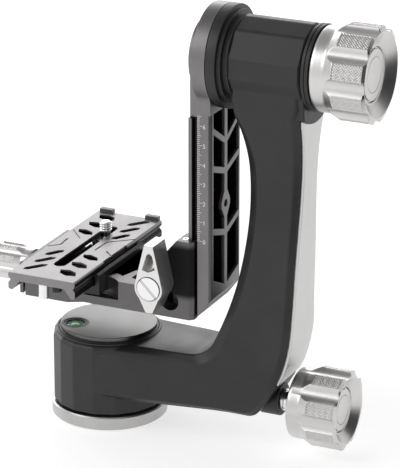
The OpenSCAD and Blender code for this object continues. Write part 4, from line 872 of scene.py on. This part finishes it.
# ---- Clamp knob ------------------------------------------------------------------------------------------
# A small fluted knob, turned from aluminium like the large ones. It is fixed on the clamp screw's end,
# faces away from the arm and draws the plate clamp shut.
CLAMP_KNOB_X, CLAMP_SCREW_Z = -42.7, 72.8
clamp_knob = fluted_knob(20.0, 9.5, flutes=8, flute_radius=3.04, flute_depth=1.18, steps=24)
bmesh.ops.rotate(clamp_knob, matrix=Matrix.Rotation(math.pi, 3, "Z"), verts=clamp_knob.verts)
make_piece("clamp_knob_body", placed(clamp_knob, CLAMP_KNOB_X, CLAMP_SCREW_Z), "knob_metal", "clamp_knob",
           "clamp_knob")

# ---- Quick release plate ---------------------------------------------------------------------------------
# The dovetail plate is extruded, milled with windows and grooves, bead blasted and anodised light grey.
# Two grey tabs at its far end keep a camera from twisting.
# Painted shade darkens the insides of the plate's windows and its side face towards +X.
plate_window_shade = ((-30.8, -46.5, 70), (4, 51, 86.7), 0.4)
plate_side_shade = ((4, -47.6, 70), (12, 60, 86.3), 0.3)
surface("plate_metal", (0.235, 0.226, 0.229), (0.285, 0.275, 0.278), (0.36, 0.46), 0.9, "blasted_grain",
        {"Scale": 1700.0, "Depth": 0.35}, edge=0.35, edge_tone=0.75,
        painted_shade_boxes=[plate_window_shade, plate_side_shade])
surface("tab_coat", (0.11, 0.108, 0.11), (0.14, 0.137, 0.14), (0.35, 0.45), 0.8, "blasted_grain",
        {"Scale": 1500.0, "Depth": 0.3}, edge=0.3, edge_tone=0.6)
dressed("quick_release_plate", "plate_body", 0.12)
dressed("plate_tabs", "plate_end_tabs", 0.35)

# ---- Camera screw ----------------------------------------------------------------------------------------
# A polished quarter-inch steel screw with a rolled thread and a plain neck. Its wide head slides under
# the plate's slot.
SCREW_X, SCREW_Y = -13.45, 24.0
thread_r, core_r, thread_pitch, thread_z = 3.175, 2.6, 1.27, 87.65
core = [(79.85, 0), (79.85, 7.0), (80.2, 7.5), (82.25, 7.5), (82.25, core_r), (87.6, core_r), (92.9, 2.55),
        (93.5, 2.1), (93.5, 0)]
screw_mesh = turned(core, 72, closed=False)
turn_steps, thread_turns = 48, 3.6
thread_form = ((0.0, core_r - 0.02), (0.12, core_r), (0.45, thread_r), (0.62, thread_r), (0.95, core_r),
               (1.0, core_r - 0.02))
flank = [screw_mesh.verts.new((thread_z + thread_pitch * share, 0, radius)) for share, radius in thread_form]
flank_edges = [screw_mesh.edges.new(pair) for pair in zip(flank, flank[1:])]
bmesh.ops.spin(screw_mesh, geom=flank + flank_edges, cent=(0, 0, 0), axis=AXIS_X,
               dvec=(thread_pitch / turn_steps, 0, 0), angle=math.tau * thread_turns,
               steps=round(turn_steps * thread_turns))
make_piece("camera_screw_thread", upright(screw_mesh, SCREW_X, SCREW_Y), "polished_steel", "camera_screw",
           "camera_screw")

# ---- Base plate ------------------------------------------------------------------------------------------
# A turned aluminium disc that sits on the tripod, with a fine bevel at either edge. It keeps its CAD
# shape.
surface("base_metal", (0.46, 0.455, 0.45), (0.54, 0.534, 0.53), (0.32, 0.42), 1.0, "turned_marks",
        {"Centre": (0, 0, 0), "Across": (1, 1, 0), "Pitch": 0.0004, "Depth": 0.15})

# ---- Inner pieces ----------------------------------------------------------------------------------------
# Shafts, screws and bearings inside: turned steel, blackened screws, ground races, brass and a brake
# shoe of nylon. Each CAD node then gets the finish that its slot names.
surface("steel", (0.42, 0.42, 0.43), (0.55, 0.55, 0.56), (0.25, 0.4), 1.0, "turned_marks",
        {"Centre": (0, 0, TILT_Z * MM), "Across": (0, 1, 1), "Pitch": 0.0003, "Depth": 0.3})
surface("dark_screw", (0.03, 0.03, 0.032), (0.05, 0.05, 0.052), (0.3, 0.45), 0.6, "blasted_grain",
        {"Scale": 900.0, "Depth": 0.3}, edge=0.3, edge_tone=0.4)
surface("brass", (0.60, 0.42, 0.16), (0.72, 0.53, 0.24), (0.25, 0.38), 1.0, "turned_marks",
        {"Centre": (0, 0, 0), "Across": (1, 1, 0), "Pitch": 0.0003, "Depth": 0.3})
surface("bearing_steel", (0.60, 0.60, 0.61), (0.70, 0.70, 0.71), (0.1, 0.2), 1.0, "turned_marks",
        {"Centre": (0, 0, 0), "Across": (1, 1, 0), "Pitch": 0.0003, "Depth": 0.1})
surface("shoe_plastic", (0.52, 0.45, 0.33), (0.60, 0.52, 0.40), (0.45, 0.6), 0.0, "blasted_grain",
        {"Scale": 700.0, "Depth": 0.4})
for node, obj in frame["nodes"].items():
    obj.data.materials.clear()
    obj.data.materials.append(finishes[slots[node]])
